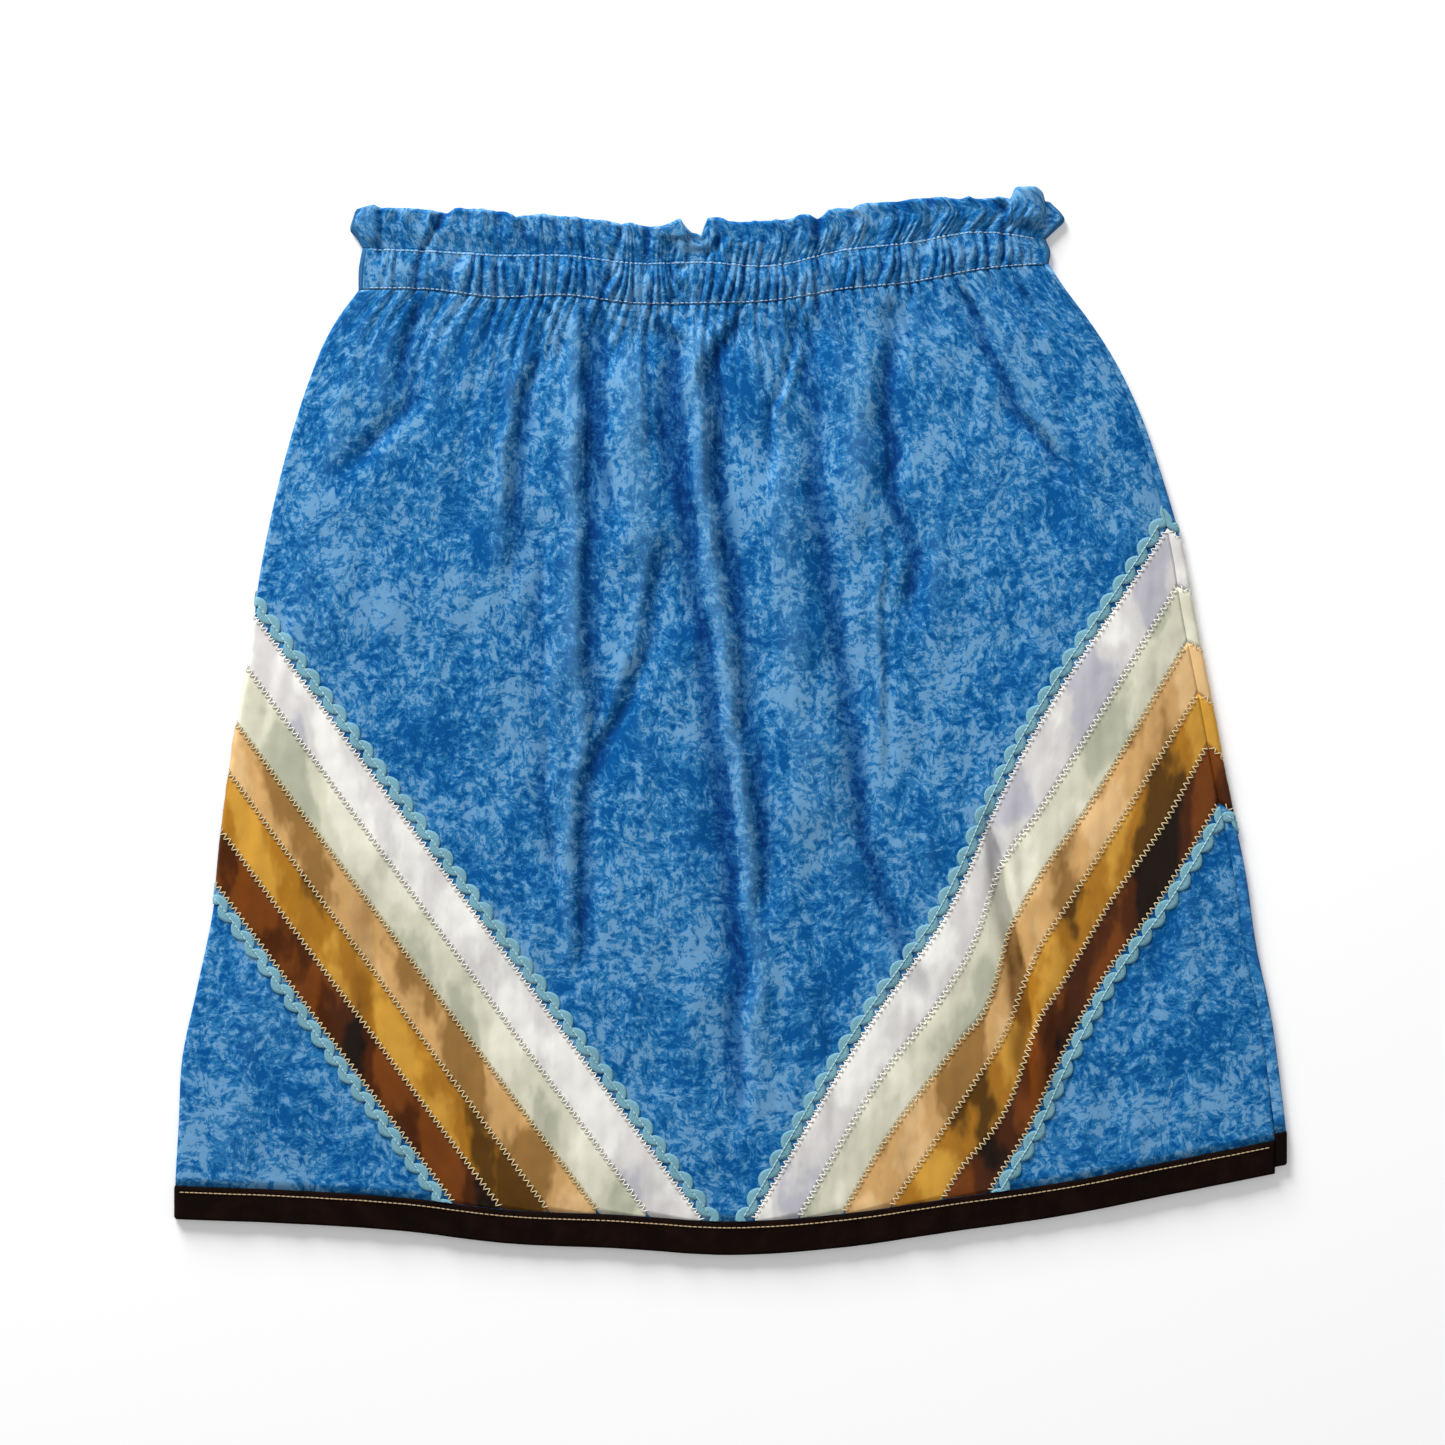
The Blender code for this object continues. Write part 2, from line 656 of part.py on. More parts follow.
def add_piece(name, solid, material, parent):
    """Add one closed piece, with its origin in the middle of its own outline."""
    points, faces = solid
    middle = (points.min(axis=0) + points.max(axis=0)) / 2
    middle[2] = 0.0
    mesh = bpy.data.meshes.new(name)
    mesh.from_pydata((points - middle).tolist(), [], faces)
    mesh.materials.append(material)
    mesh.update()
    piece = bpy.data.objects.new(name, mesh)
    bpy.context.collection.objects.link(piece)
    piece.location = middle
    piece.parent = parent


def front_panel_rows():
    """Sections of the front panel: the gathered ones and the lower ones."""
    gathered = [panel_row(down, GATHER_COLUMNS) for down in GATHERED_ROWS]
    lower = [panel_row(down, WIDE_COLUMNS) for down in LOWER_ROWS]
    return gathered, lower


def casing_front():
    """Front of the elastic casing, between its two stitch lines."""
    rows = []
    for up in (1.0, 0.5, 0.0):
        left, right = waist_sides(CASING, up)
        rows.append(front_row(
            left, right, GATHER_COLUMNS,
            lambda x, up=up, left=left, right=right: casing_height((x - left) / (right - left), up),
            lambda across, x, up=up: casing_relief(across, up),
            round_right=True,
        ))
    return wall(join_rows(rows), CASING_WALL)


def casing_height(across, up):
    """Y inside the casing."""
    low = read(ACROSS, "across", "lower_stitch", across) * MM + SEAM / 2
    high = read(ACROSS, "across", "upper_stitch", across) * MM - SEAM / 2
    return low + (high - low) * up


def ruffle_height(across, up):
    """Y inside the front of the ruffle."""
    low = read(ACROSS, "across", "upper_stitch", across) * MM + SEAM / 2
    return low + (ruffle_top(np.asarray(across)) - low) * up


def ruffle_front():
    """Front of the ruffle above the casing."""
    rows = []
    for up in (1.0, 0.5, 0.0):
        left, right = waist_sides(RUFFLE, up)
        rows.append(front_row(
            left, right, GATHER_COLUMNS,
            lambda x, up=up, left=left, right=right: ruffle_height((x - left) / (right - left), up),
            lambda across, x, up=up: ruffle_relief(across, up),
            round_right=True,
        ))
    return wall(join_rows(rows), COTTON)


def plate_row(x, y):
    """One row of a flat layer of the back: its outer face is the underside."""
    return np.column_stack([x, y, np.zeros(len(x))]), np.tile((0.0, 0.0, -1.0), (len(x), 1))


def waist_sides(outline, up):
    """Left and right edge of the casing or the ruffle at one height, in metres."""
    return read(outline, "up", "left", up) * MM, read(outline, "up", "right", up) * MM


def casing_back():
    """Back of the casing, flat on the surface."""
    rows = []
    for up in (1.0, 0.0):
        left, right = waist_sides(CASING, up)
        x = back_places(left, right)
        rows.append(plate_row(x, casing_height((x - left) / (right - left), up)))
    return wall(join_rows(rows), COTTON)


def ruffle_back():
    """Back of the ruffle, flat on the surface, a little shorter than the front so that it stays hidden."""
    casing_left, casing_right = waist_sides(CASING, 1.0)
    casing_x = back_places(casing_left, casing_right)
    casing_y = casing_height((casing_x - casing_left) / (casing_right - casing_left), 1.0) + SEAM
    rows = []
    for up in (1.0, 0.5, 0.0):
        left, right = waist_sides(RUFFLE, up)
        x = left + (right - left) * WIDE_COLUMNS
        low = np.interp(x, casing_x, casing_y)
        top = ruffle_top(WIDE_COLUMNS) - BACK_RUFFLE_DROP
        rows.append(plate_row(x, low + (top - low) * up))
    return wall(join_rows(rows), COTTON)


def hem_front():
    """Front hem band, below the front panel."""
    left, right, seam = body_sides(1.0)
    rows = []
    for part in (0.0, 0.5, 1.0):
        rows.append(front_row(
            left, seam - SEAM / 2, WIDE_COLUMNS,
            lambda x, part=part: hem_y((x - left) / (right - left), part, 0.0),
            lambda across, x, part=part: (panel_relief(across, x, body_height(x, 1.0), 1.0) + HEM_PROUD)
            * (1 - HEM_EDGE_CALM * part * side_fade(across)),
            round_right=False,
        ))
    return wall(join_rows(rows), HEM_WALL)


def hem_y(across, part, raised):
    """Y inside a hem band, from its top (part 0) to its lower edge (part 1)."""
    return (read(ACROSS, "across", "hem", across) + raised) * MM - SEAM / 2 - HEM_HEIGHT * part


def hem_back():
    """Back hem band, turned over the right fold like the panel above it."""
    left, right, _ = body_sides(1.0)
    rows = [
        back_row(1.0, lambda x, part=part: hem_y((x - left) / (right - left), part, BACK_HEM_RAISE))
        for part in (0.0, 1.0)
    ]
    return wall(join_rows(rows), COTTON)


def add_front_trims(surface, finishes, parent):
    """Ribbons and rickrack on the left and right of the front."""
    first_to_last = list(range(surface.last + 1))
    for side, columns, outer in (("left", first_to_last, 1), ("right", first_to_last[::-1], -1)):
        lines = ribbon_lines(side)
        for k, colour in enumerate(RIBBON_NAMES):
            places, faces = band(ribbon_stations(surface, lines[k], lines[k + 1], columns))
            solid = laid_on(surface, places, faces, RIBBON_WALL)
            add_piece(f"ribbon_{side}_{colour}", solid, finishes[f"{colour}_satin"], parent)
        for name, line, way in (("upper", lines[0], outer), ("lower", lines[-1], -outer)):
            places, faces = band(rickrack_places(*line, way))
            solid = laid_on(surface, places, faces, RICKRACK_WALL)
            add_piece(f"rickrack_{side}_{name}", solid, finishes["teal_braid"], parent)


def add_turned_trims(surface, finishes, parent):
    """The ends of the back's ribbons and rickrack that show on the strip inside the right fold."""
    outermost = BACK_COLUMNS + TURN_ANGLES.index(0.0)
    columns = list(range(outermost, surface.last + 1))
    lines = []
    for at_seam, at_fold in zip(RIBBON_EDGES["seam_y"], RIBBON_EDGES["turn_y"]):
        lines.append((fold_point(at_seam * MM, "seam"), fold_point(at_fold * MM, "right")))
    for k, colour in enumerate(RIBBON_NAMES):
        upper, lower = straight(*lines[k]), straight(*lines[k + 1])
        stations = []
        for column in columns:
            top = ribbon_edge(surface, column, upper, 1)
            stations.append([(column, top), (column, ribbon_edge(surface, column, lower, -1))])
        places, faces = band(stations)
        solid = laid_on(surface, places, faces, RIBBON_WALL)
        add_piece(f"ribbon_turn_{colour}", solid, finishes[f"{colour}_satin"], parent)
    for name, line, way in (("upper", lines[0], -1), ("lower", lines[-1], 1)):
        places, faces = band(turned_rickrack(surface, line, way, columns))
        solid = laid_on(surface, places, faces, RICKRACK_WALL)
        add_piece(f"rickrack_turn_{name}", solid, finishes["teal_braid"], parent)


def build():
    """Model the skirt."""
    for old in list(bpy.data.objects):
        bpy.data.objects.remove(old, do_unlink=True)
    parent = bpy.data.objects.new("skirt", None)
    bpy.context.collection.objects.link(parent)
    finishes = {name: finish(name) for name in FINISHES}
    cotton = finishes["blue_cotton"]
    binding = finishes["hem_binding"]

    gathered, lower = front_panel_rows()
    add_piece("front_panel", wall(join_rows(gathered + lower), COTTON), cotton, parent)
    back = [back_row(down, lambda x, down=down: body_height(x, down, BACK_HEM_RAISE)) for down in BACK_ROWS]
    add_piece("back_panel", wall(join_rows(back), COTTON), cotton, parent)
    add_piece("front_casing", casing_front(), cotton, parent)
    add_piece("back_casing", casing_back(), cotton, parent)
    add_piece("front_ruffle", ruffle_front(), cotton, parent)
    add_piece("back_ruffle", ruffle_back(), cotton, parent)
    add_piece("front_hem_band", hem_front(), binding, parent)
    add_piece("back_hem_band", hem_back(), binding, parent)
    add_front_trims(Surface(LOWER_ROWS, lower), finishes, parent)
    add_turned_trims(Surface(BACK_ROWS, back), finishes, parent)


build()
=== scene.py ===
"""The looks of a ribbon skirt laid flat: cloth shells, trims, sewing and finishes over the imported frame.

Tables and shapes are in millimetres in the frame's axes: X across, Y from the hem to the waist, Z up.
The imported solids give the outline, the large folds and the gathers. The shells here follow the same
tables with finer creases, and the ribbons, the rickrack and the stitches lie on those shells.
"""
import math

import bpy
import numpy as np
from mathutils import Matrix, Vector


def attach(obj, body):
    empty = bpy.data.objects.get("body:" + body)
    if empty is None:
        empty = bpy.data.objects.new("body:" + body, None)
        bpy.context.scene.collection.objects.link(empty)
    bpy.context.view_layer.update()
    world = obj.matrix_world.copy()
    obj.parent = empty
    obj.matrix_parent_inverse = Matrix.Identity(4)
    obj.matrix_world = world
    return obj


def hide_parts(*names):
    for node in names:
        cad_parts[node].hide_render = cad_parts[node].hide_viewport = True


MM = 0.001

# Heights of the laid skirt at its side folds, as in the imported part
FOLD_TOP = 4.4
FRONT_LOW = 1.5
FRONT_ROUND = FOLD_TOP - FRONT_LOW
UNDER = 0.5                 # room under the back for its own ribbons
BACK_ROUND = (FOLD_TOP - UNDER) / 2
EDGE_OVERLAP = -1.13        # how far round the left fold the front goes, past a quarter turn
LOWEST_RELIEF = -2.6        # so that no trough reaches the back panel
CLOTH = 0.35                # thickness of the cotton
SEAM = 0.06                 # gap between two shells at a seam
FLAT_WIDE = 667.0           # width that each panel was cut to, before it was gathered
FLAT_BODY = 550.0
HEM_HEIGHT = 20.0
HEM_PROUD = 0.75
BACK_HEM_RAISE = 4.0        # how much higher the back hem lies than the front hem
RAISE_START = 0.9
BACK_RUFFLE_DROP = 1.5
BACK_GATHER = 1.0


def table(columns, *rows):
    """Rows of numbers as one array for each named column."""
    names = columns.split()
    return {name: np.array([row[k] for row in rows], float) for k, name in enumerate(names)}


# Outline of the body between the casing's lower stitching (down 0) and the hem band (down 1).
# seam is the distance of the right side seam from the right fold.
BODY = table(
    "down left right seam",
    (0.00, -224.0, 190.5, 3.0),
    (0.03, -236.0, 201.0, 3.0),
    (0.06, -245.0, 213.0, 3.2),
    (0.10, -253.5, 227.0, 3.4),
    (0.16, -264.0, 243.0, 3.8),
    (0.24, -275.0, 258.0, 4.6),
    (0.32, -283.5, 270.0, 6.6),
    (0.40, -289.0, 277.5, 7.0),
    (0.50, -298.5, 288.0, 7.0),
    (0.60, -306.0, 298.0, 7.0),
    (0.70, -312.0, 309.0, 7.0),
    (0.78, -321.0, 315.0, 7.0),
    (0.86, -330.0, 324.0, 7.0),
    (0.93, -332.0, 329.0, 7.0),
    (1.00, -334.0, 333.0, 7.0),
)

# Lines that run across the skirt: both stitch lines of the casing, the ruffle's top and the hem band's top
ACROSS = table(
    "across lower_stitch upper_stitch ruffle_top hem",
    (0.0, 259.5, 284.7, 308.5, -278.0),
    (0.1, 258.9, 283.5, 306.9, -280.5),
    (0.2, 254.1, 281.1, 306.9, -284.7),
    (0.3, 255.3, 280.8, 303.9, -292.5),
    (0.4, 250.5, 276.3, 298.5, -295.5),
    (0.5, 250.5, 276.9, 300.3, -299.4),
    (0.6, 252.3, 274.8, 301.5, -294.9),
    (0.7, 258.9, 284.0, 307.5, -285.3),
    (0.8, 263.1, 288.6, 313.5, -275.7),
    (0.9, 270.9, 295.0, 315.0, -262.5),
    (1.0, 275.1, 290.1, 313.0, -249.3),
)

# Side edges of the casing and of the ruffle above it, from the lower edge (up 0) to the upper (up 1)
CASING = table(
    "up left right",
    (0.0, -224.0, 190.5),
    (0.5, -223.5, 191.5),
    (1.0, -221.7, 188.7),
)
RUFFLE = table(
    "up left right",
    (0.00, -221.7, 188.7),
    (0.35, -226.0, 196.0),
    (0.65, -229.0, 200.0),
    (1.00, -226.5, 192.0),
)

# How many gathers, and how many waves of the ruffle, lie in each stretch across the waist
GATHERS = table(
    "start end count",
    (0.00, 0.20, 8),
    (0.20, 0.38, 11),
    (0.38, 0.55, 12),
    (0.55, 0.72, 12),
    (0.72, 0.90, 11),
    (0.90, 1.00, 6),
)
WAVES = table(
    "start end count",
    (0.00, 0.12, 4),
    (0.12, 0.45, 8),
    (0.45, 0.62, 5),
    (0.62, 0.95, 8),
    (0.95, 1.00, 1),
)

# The ruffle's top edge as it lies, with its dips, the notch in the middle and the rolled end at the right
RUFFLE_EDGE = table(
    "x y",
    (-228.9, 302.7), (-224.7, 308.1), (-214.5, 310.5), (-210.9, 308.7), (-192.9, 308.7), (-179.7, 307.5),
    (-171.3, 305.7), (-165.9, 308.7), (-149.7, 308.1), (-135.3, 306.3), (-128.7, 303.3), (-120.9, 304.5),
    (-111.3, 305.1), (-99.3, 303.3), (-92.1, 303.9), (-88.5, 302.1), (-76.5, 301.5), (-66.9, 299.1),
    (-58.5, 299.7), (-48.9, 297.3), (-40.5, 297.9), (-33.3, 301.5), (-30.3, 302.1), (-23.7, 293.7),
    (-18.9, 292.5), (-15.3, 299.1), (-13.5, 302.7), (-8.1, 303.3), (1.5, 300.3), (17.1, 300.9),
    (31.5, 301.5), (41.1, 304.5), (47.7, 305.1), (51.3, 302.1), (57.9, 307.5), (65.1, 308.7),
    (71.1, 308.1), (80.7, 311.7), (95.1, 312.3), (109.5, 314.1), (126.3, 315.3), (135.9, 314.1),
    (141.9, 315.9), (146.7, 314.1), (162.9, 315.3), (167.7, 314.1), (169.5, 320.7), (182.1, 321.3),
    (186.9, 317.7), (188.1, 312.9), (194.1, 311.7), (200.1, 309.3),
)

# Large folds of the front: depth (below zero for a trough), half width and lean (1 where the right wall
# is the steep one, -1 for the left), then the fold's line from its upper end down as (y, x)
FOLDS = {
    "left_hip": (-3.0, 9.0, 0, ((252, -190), (221, -194), (193, -192), (147, -234))),
    "left_upper": (-2.8, 9.0, -1, ((235, -114), (221, -114), (196, -126), (180, -128), (90, -131))),
    "left_faint": (-1.6, 6.0, 1, ((250, -141), (229, -140), (180, -139), (140, -141))),
    "left_long": (-2.0, 9.0, 1, ((125, -116), (20, -114), (-54, -112), (-93, -104))),
    "left_inner": (-3.5, 9.0, -1, ((256, -86), (160, -85), (64, -86), (-15, -82), (-67, -90), (-145, -88))),
    "left_second": (-2.6, 5.5, 0, ((254, -77), (210, -78), (170, -78), (120, -70))),
    "left_slant": (-2.4, 8.0, -1, ((108, -42), (51, -51), (12, -64), (-19, -81))),
    "middle_left": (-2.0, 5.0, 0, ((244, -60), (215, -51), (187, -43), (150, -38))),
    "middle_long": (-4.6, 12.0, 1, ((244, -46), (229, -36), (205, -31), (172, -30), (90, -21), (-6, -6),
                                    (-67, 0), (-154, 5), (-235, 4))),
    "middle_crest": (3.0, 5.0, 0, ((240, -22), (151, -18), (81, -11), (20, -5), (-45, 4), (-89, 6))),
    "middle_short": (-3.3, 8.5, -1, ((250, 6), (229, -5), (215, -10), (151, -9), (99, -3), (55, 4),
                                     (-15, 8), (-58, 17), (-111, 19))),
    "middle_streak": (-2.2, 5.0, 1, ((250, 40), (221, 36), (201, 32), (187, 24), (150, 22))),
    "right_long": (-3.8, 9.0, 0, ((247, 44), (177, 48), (116, 54), (12, 69), (-80, 82), (-170, 118))),
    "right_thin": (-1.6, 5.0, -1, ((116, 93), (-24, 93))),
    "right_upper": (-4.4, 7.0, 0, ((259, 99), (229, 96), (201, 93), (167, 96), (138, 97), (99, 110),
                                   (64, 108))),
    "right_hip": (-3.6, 7.5, 1, ((266, 134), (251, 144), (229, 153), (208, 164), (185, 174), (153, 196))),
    "right_edge": (-2.2, 4.5, 1, ((273, 166), (256, 177), (240, 184))),
    "left_ridge": (2.2, 11.0, 0, ((195, -98), (29, -92))),
    "left_middle_ridge": (3.6, 14.0, 0, ((216, -60), (99, -58))),
    "right_middle_ridge": (3.4, 17.0, 0, ((151, 28), (-67, 45))),
    "right_ridge": (3.0, 12.0, 0, ((216, 75), (115, 77))),
    "band_bend": (-5.0, 8.0, 1, ((-62, 156), (-94, 162), (-140, 171), (-181, 178), (-220, 176))),
    "band_crest": (2.2, 9.0, 0, ((-70, 190), (-120, 192), (-170, 190), (-215, 186))),
    "left_band_edge": (-1.8, 7.0, 1, ((60, -268), (0, -283), (-60, -290), (-120, -300))),
    "lower_left": (-1.6, 12.0, 0, ((-90, -215), (-160, -222), (-230, -210))),
    "lower_middle": (-1.5, 10.0, -1, ((-150, 52), (-220, 60), (-270, 66))),
}
FOLD_FADE = 38.0

# Narrow pleats at the waist, where the gathers are pulled tightest: depth and half width, then the
# pleat's line from its upper end down as (y, x)
PLEATS = (
    (-2.6, 2.2, ((309, -212.1), (285, -210.3), (268, -210))),
    (-1.8, 2.4, ((252, -213), (242, -222))),
    (-3.0, 2.6, ((308, -171), (284, -184.5), (257, -189), (246, -190))),
    (-1.3, 1.6, ((282, -175.5), (255, -168.9))),
    (-2.4, 2.0, ((283, -139.5), (252, -141.9), (244, -142))),
    (-2.4, 2.4, ((305, -128.5), (281, -120.5), (256, -125))),
    (-2.4, 1.8, ((279, -116.7), (251, -114.3), (240, -105), (226, -101))),
    (-1.8, 1.9, ((304, -89.7), (280, -88))),
    (-1.1, 1.6, ((300, -96.3), (283, -95.7))),
    (-2.6, 1.9, ((279, -86.7), (252, -89), (238, -89))),
    (-3.0, 2.2, ((300, -65.4), (281, -70.2), (254, -77.1), (244, -78))),
    (-1.6, 1.7, ((275, -59.7), (258, -58.5), (240, -57))),
    (-2.6, 2.2, ((299, -50.1), (272, -50), (244, -47.5))),
    (-2.4, 1.8, ((275, -36.3), (251, -35.1), (240, -34))),
    (-1.2, 1.5, ((276, -31.5), (256, -30.5))),
    (-1.6, 1.6, ((274, -24.9), (252, -24.5))),
    (-1.2, 1.5, ((276, -19.5), (256, -18.6))),
    (-2.4, 3.4, ((293, -4), (286, -9), (279, -15))),
    (-1.6, 1.7, ((275, -0.9), (256, 1.5))),
    (-2.2, 1.8, ((284, 9.3), (274, 8.7), (251, 7.5), (240, 2))),
    (-1.3, 1.5, ((275, 16), (256, 15))),
    (-1.4, 1.6, ((276, 24.3), (256, 27.5))),
    (-1.6, 1.8, ((304, 38.7), (279, 37.2), (258, 38.9))),
    (-2.2, 1.8, ((278, 42.3), (254, 43.5), (246, 42))),
    (-3.4, 2.3, ((306, 51.6), (256, 51.9), (246, 53))),
    (-1.3, 1.6, ((285, 58), (262, 64.5))),
    (-1.5, 1.8, ((310, 71.7), (292, 73.5), (270, 72))),
    (-1.2, 1.5, ((286, 80), (260, 80.7))),
    (-1.8, 1.7, ((286, 89), (259, 91.6))),
    (-2.0, 2.2, ((314, 99.3), (289, 101), (259, 100.5))),
    (-1.8, 1.7, ((288, 110.7), (264, 108.3), (250, 107))),
    (-1.8, 1.9, ((316, 119.7), (299, 119), (285, 117))),
    (-1.2, 1.5, ((283, 124.5), (264, 125.1))),
    (-1.5, 1.6, ((293, 133), (266, 131.7))),
    (-1.3, 1.5, ((290, 143.5), (268, 144.5))),
    (-1.6, 1.6, ((294, 152.7), (270, 154.5), (256, 158))),
    (-2.6, 2.0, ((315, 164), (301, 163), (274, 164.5))),
    (-1.6, 1.6, ((292, 174), (276, 176.5))),
    (-1.5, 1.6, ((291, 184), (273, 185))),
)
PLEAT_FADE = 7.0
SWELL = table("down lift", (0.0, 0.3), (0.08, 2.2), (0.2, 3.0), (0.5, 2.8), (0.8, 2.0), (1.0, 0.8))

# Edges of the ribbons, from above the white ribbon to below the brown one: height at the left fold,
# place at the hem, height at the right seam, place at the hem and height at the right fold
RIBBON_NAMES = ("white", "ivory", "champagne", "bronze", "brown")
RIBBON_EDGES = table(
    "left_y left_hem_x seam_y right_hem_x turn_y",
    (66.6, -17.0, 115.5, 12.0, 108.0),
    (35.0, -49.0, 81.0, 40.0, 77.0),
    (1.0, -79.0, 47.5, 66.5, 43.0),
    (-28.0, -109.0, 16.5, 95.0, 10.0),
    (-63.0, -137.5, -14.0, 126.0, -23.0),
    (-95.0, -166.0, -49.0, 154.0, -54.0),
)

# Where the right ribbons' edges bend over the fold under them, for each edge from the uppermost
RIGHT_BENDS = (
    ((155.1, -58.5), (141.9, -89.1), (126.3, -119.7), (113.7, -138.3), (89.1, -171.9)),
    ((180.9, -58.5), (161.1, -87.3), (145.5, -131.7), (128.7, -161.1), (89.1, -213.3)),
    ((208.5, -58.5), (180.9, -98.1), (167.1, -124.5), (155.1, -165.9), (136.5, -191.7), (89.1, -255.9)),
    ((233.7, -58.5), (202.5, -107.7), (180.9, -142.5), (165.9, -182.7), (147.3, -213.3), (96.9, -288.3)),
    ((260.7, -58.5), (227.1, -107.7), (194.7, -162.3), (182.7, -180.9), (172.5, -213.3), (132.0, -276.0)),
    ((261.9, -98.1), (217.5, -162.3), (196.5, -202.5), (176.1, -246.9), (162.0, -269.0)),
)

# Relief over the folded edge's height
GATHER_LIFT = 1.1
GATHER_LEVEL = 0.8          # lowers the gathers so that their middle height is the cloth's own
STITCH_LIFT = 0.3
CASING_PUFF = 1.1
CASING_GATHER = 0.8
RUFFLE_LIFT = 1.9
RUFFLE_WAVE = 1.6
GATHER_END = 0.19           # how far down the body the gathers reach
SIDE_FADE = 0.06
FLOOR_BEND = 0.4
HEM_CALM = 0.45
HEM_CALM_START = 0.75
HEM_EDGE_CALM = 0.35
CREASES = 34                # smaller creases that run down from the gathers
# The hollows measured with these reaches set where shade and light are painted into the cloth's colour.
HOLLOW_REACHES = (4, 11, 24)    # columns on each side that a hollow is measured against

# Trims and sewing
RIBBON_LIFT = 0.42          # height of a ribbon's upper face over the cotton, at its edges
RIBBON_CROWN = 0.3          # how much higher its middle lies
RIBBON_THICK = 0.2
RIBBON_GAP = 0.08
RIBBON_SPAN = 540.0
RIBBON_POINTS = 11
RICKRACK_WAVE = 13.4
RICKRACK_SWING = 2.4
RICKRACK_HALF = 2.5
RICKRACK_OFFSET = 5.4
RICKRACK_THICK = 1.15
RICKRACK_STEPS = 22
ZIGZAG_PITCH = 3.9
ZIGZAG_HALF = 2.0
THREAD = 0.34               # half the width of a sewing thread as it shows
THREAD_HIGH = 0.28
PRESSED = 0.4               # how much of a trim's height is left on the underside
STITCH_PITCH = 2.9
CASING_SEWN = 412.0         # length of the casing's stitch lines
HEM_SEWN = 655.0            # length of the hem's stitch line
STITCH_SHOWN = 0.78         # part of each stitch's pitch that lies on top
PULLED_SHOWN = 0.93         # the same for the tighter rows of the hem and the rickrack


def read(rows, key, value, at):
    """Read one column of a table on a smooth curve through its rows."""
    knots, values = rows[key], rows[value]
    slopes = np.gradient(values, knots)
    at = np.clip(at, knots[0], knots[-1])
    k = np.clip(np.searchsorted(knots, at, side="right") - 1, 0, len(knots) - 2)
    span = knots[k + 1] - knots[k]
    t = (at - knots[k]) / span
    start = (2 * t**3 - 3 * t**2 + 1) * values[k] + (t**3 - 2 * t**2 + t) * span * slopes[k]
    end = (3 * t**2 - 2 * t**3) * values[k + 1] + (t**3 - t**2) * span * slopes[k + 1]
    return start + end


def ease(t):
    """Rise smoothly from 0 to 1 as t does."""
    t = np.clip(t, 0.0, 1.0)
    return t * t * (3 - 2 * t)


def hump(t):
    """A soft bump, 1 at zero and 0 beyond two and a half."""
    return np.exp(-t * t) * ease(2.5 - np.abs(t))


def uneven(k):
    """A fixed irregular number between 0 and 1 for the k-th gather, wave or crease."""
    return 0.5 + 0.28 * np.sin(2.39 * k + 0.6) + 0.22 * np.sin(5.17 * k + 1.9)


def drift(x, y, seed):
    """A soft irregular field, mostly between -1 and 1, whose swells are about one unit apart."""
    total = 0.0
    for k in range(6):
        turn = 1.7 * seed + 2.4 * k
        pitch = 2 * math.pi * (0.55 + 0.15 * k)
        total = total + np.sin(pitch * (x * math.cos(turn) + y * math.sin(turn)) + 5.3 * seed * (k + 1))
    return total / 2.4


def spaced(stretches):
    """Places across the waist where gathers or waves begin, unevenly spaced within each stretch."""
    places = [0.0]
    index = 0
    for start, end, count in zip(stretches["start"], stretches["end"], stretches["count"]):
        for k in range(1, int(count) + 1):
            index += 1
            shift = 0.0 if k == count else 0.34 * (uneven(index) - 0.5)
            places.append(start + (end - start) * (k + shift) / count)
    return np.array(places)


GATHER_PLACES = spaced(GATHERS)
WAVE_PLACES = spaced(WAVES)


def puffs(places, across, sharp):
    """Rounded puffs with sharp valleys between them: 0 in each valley, up to 1 on each crest."""
    phase = np.interp(across, places, np.arange(len(places)))
    strength = 0.6 + 0.5 * uneven(np.floor(phase))
    return np.abs(np.sin(math.pi * phase))**sharp * strength


def body_sides(down):
    """Left fold, right fold and right seam at one height of the body."""
    left = read(BODY, "down", "left", down)
    right = read(BODY, "down", "right", down)
    return left, right, right - read(BODY, "down", "seam", down)


def body_height(x, down, raise_hem):
    """Y of the body at a place across it and a part of the way down."""
    left, right, _ = body_sides(down)
    across = (x - left) / (right - left)
    top = read(ACROSS, "across", "lower_stitch", across) - SEAM / 2
    raised = raise_hem * ease((down - RAISE_START) / (1 - RAISE_START))
    hem = read(ACROSS, "across", "hem", across) + raised + SEAM / 2
    return top + (hem - top) * down


def crease(x, y, line, fade):
    """Distance of a place from a crease's line, and how much of the crease is there at its height."""
    heights = np.array([point[0] for point in line], float)[::-1]
    places = np.array([point[1] for point in line], float)[::-1]
    start = ease((heights[-1] + fade / 2 - y) / fade)
    end = ease((y - heights[0] + fade / 2) / fade)
    return x - np.interp(y, heights, places), start * end


def trough(t, lean):
    """Section of a fold, 1 at its middle, with a lip beside its steep wall."""
    side = lean * t
    wide = np.where(side > 0, t * (1 + 1.5 * abs(lean)), t)
    return hump(wide) - 0.42 * abs(lean) * hump((side - 1.0) / 0.55)


def fold_relief(x, y):
    """Height of the large folds over the plain panel."""
    total = np.zeros_like(x)
    wander = 1.3 * drift(x / 60, y / 45, 5.0)
    for depth, half, lean, line in FOLDS.values():
        off, share = crease(x + wander, y, line, FOLD_FADE)
        total += depth * share * trough(off / half, lean)
    return total


def pleat_relief(x, y):
    """Height of the narrow pleats at the waist."""
    total = np.zeros_like(x)
    for depth, half, line in PLEATS:
        off, share = crease(x, y, line, PLEAT_FADE)
        total += depth * share * (hump(off / half) - 0.25 * hump(off / (2.4 * half)))
    return total


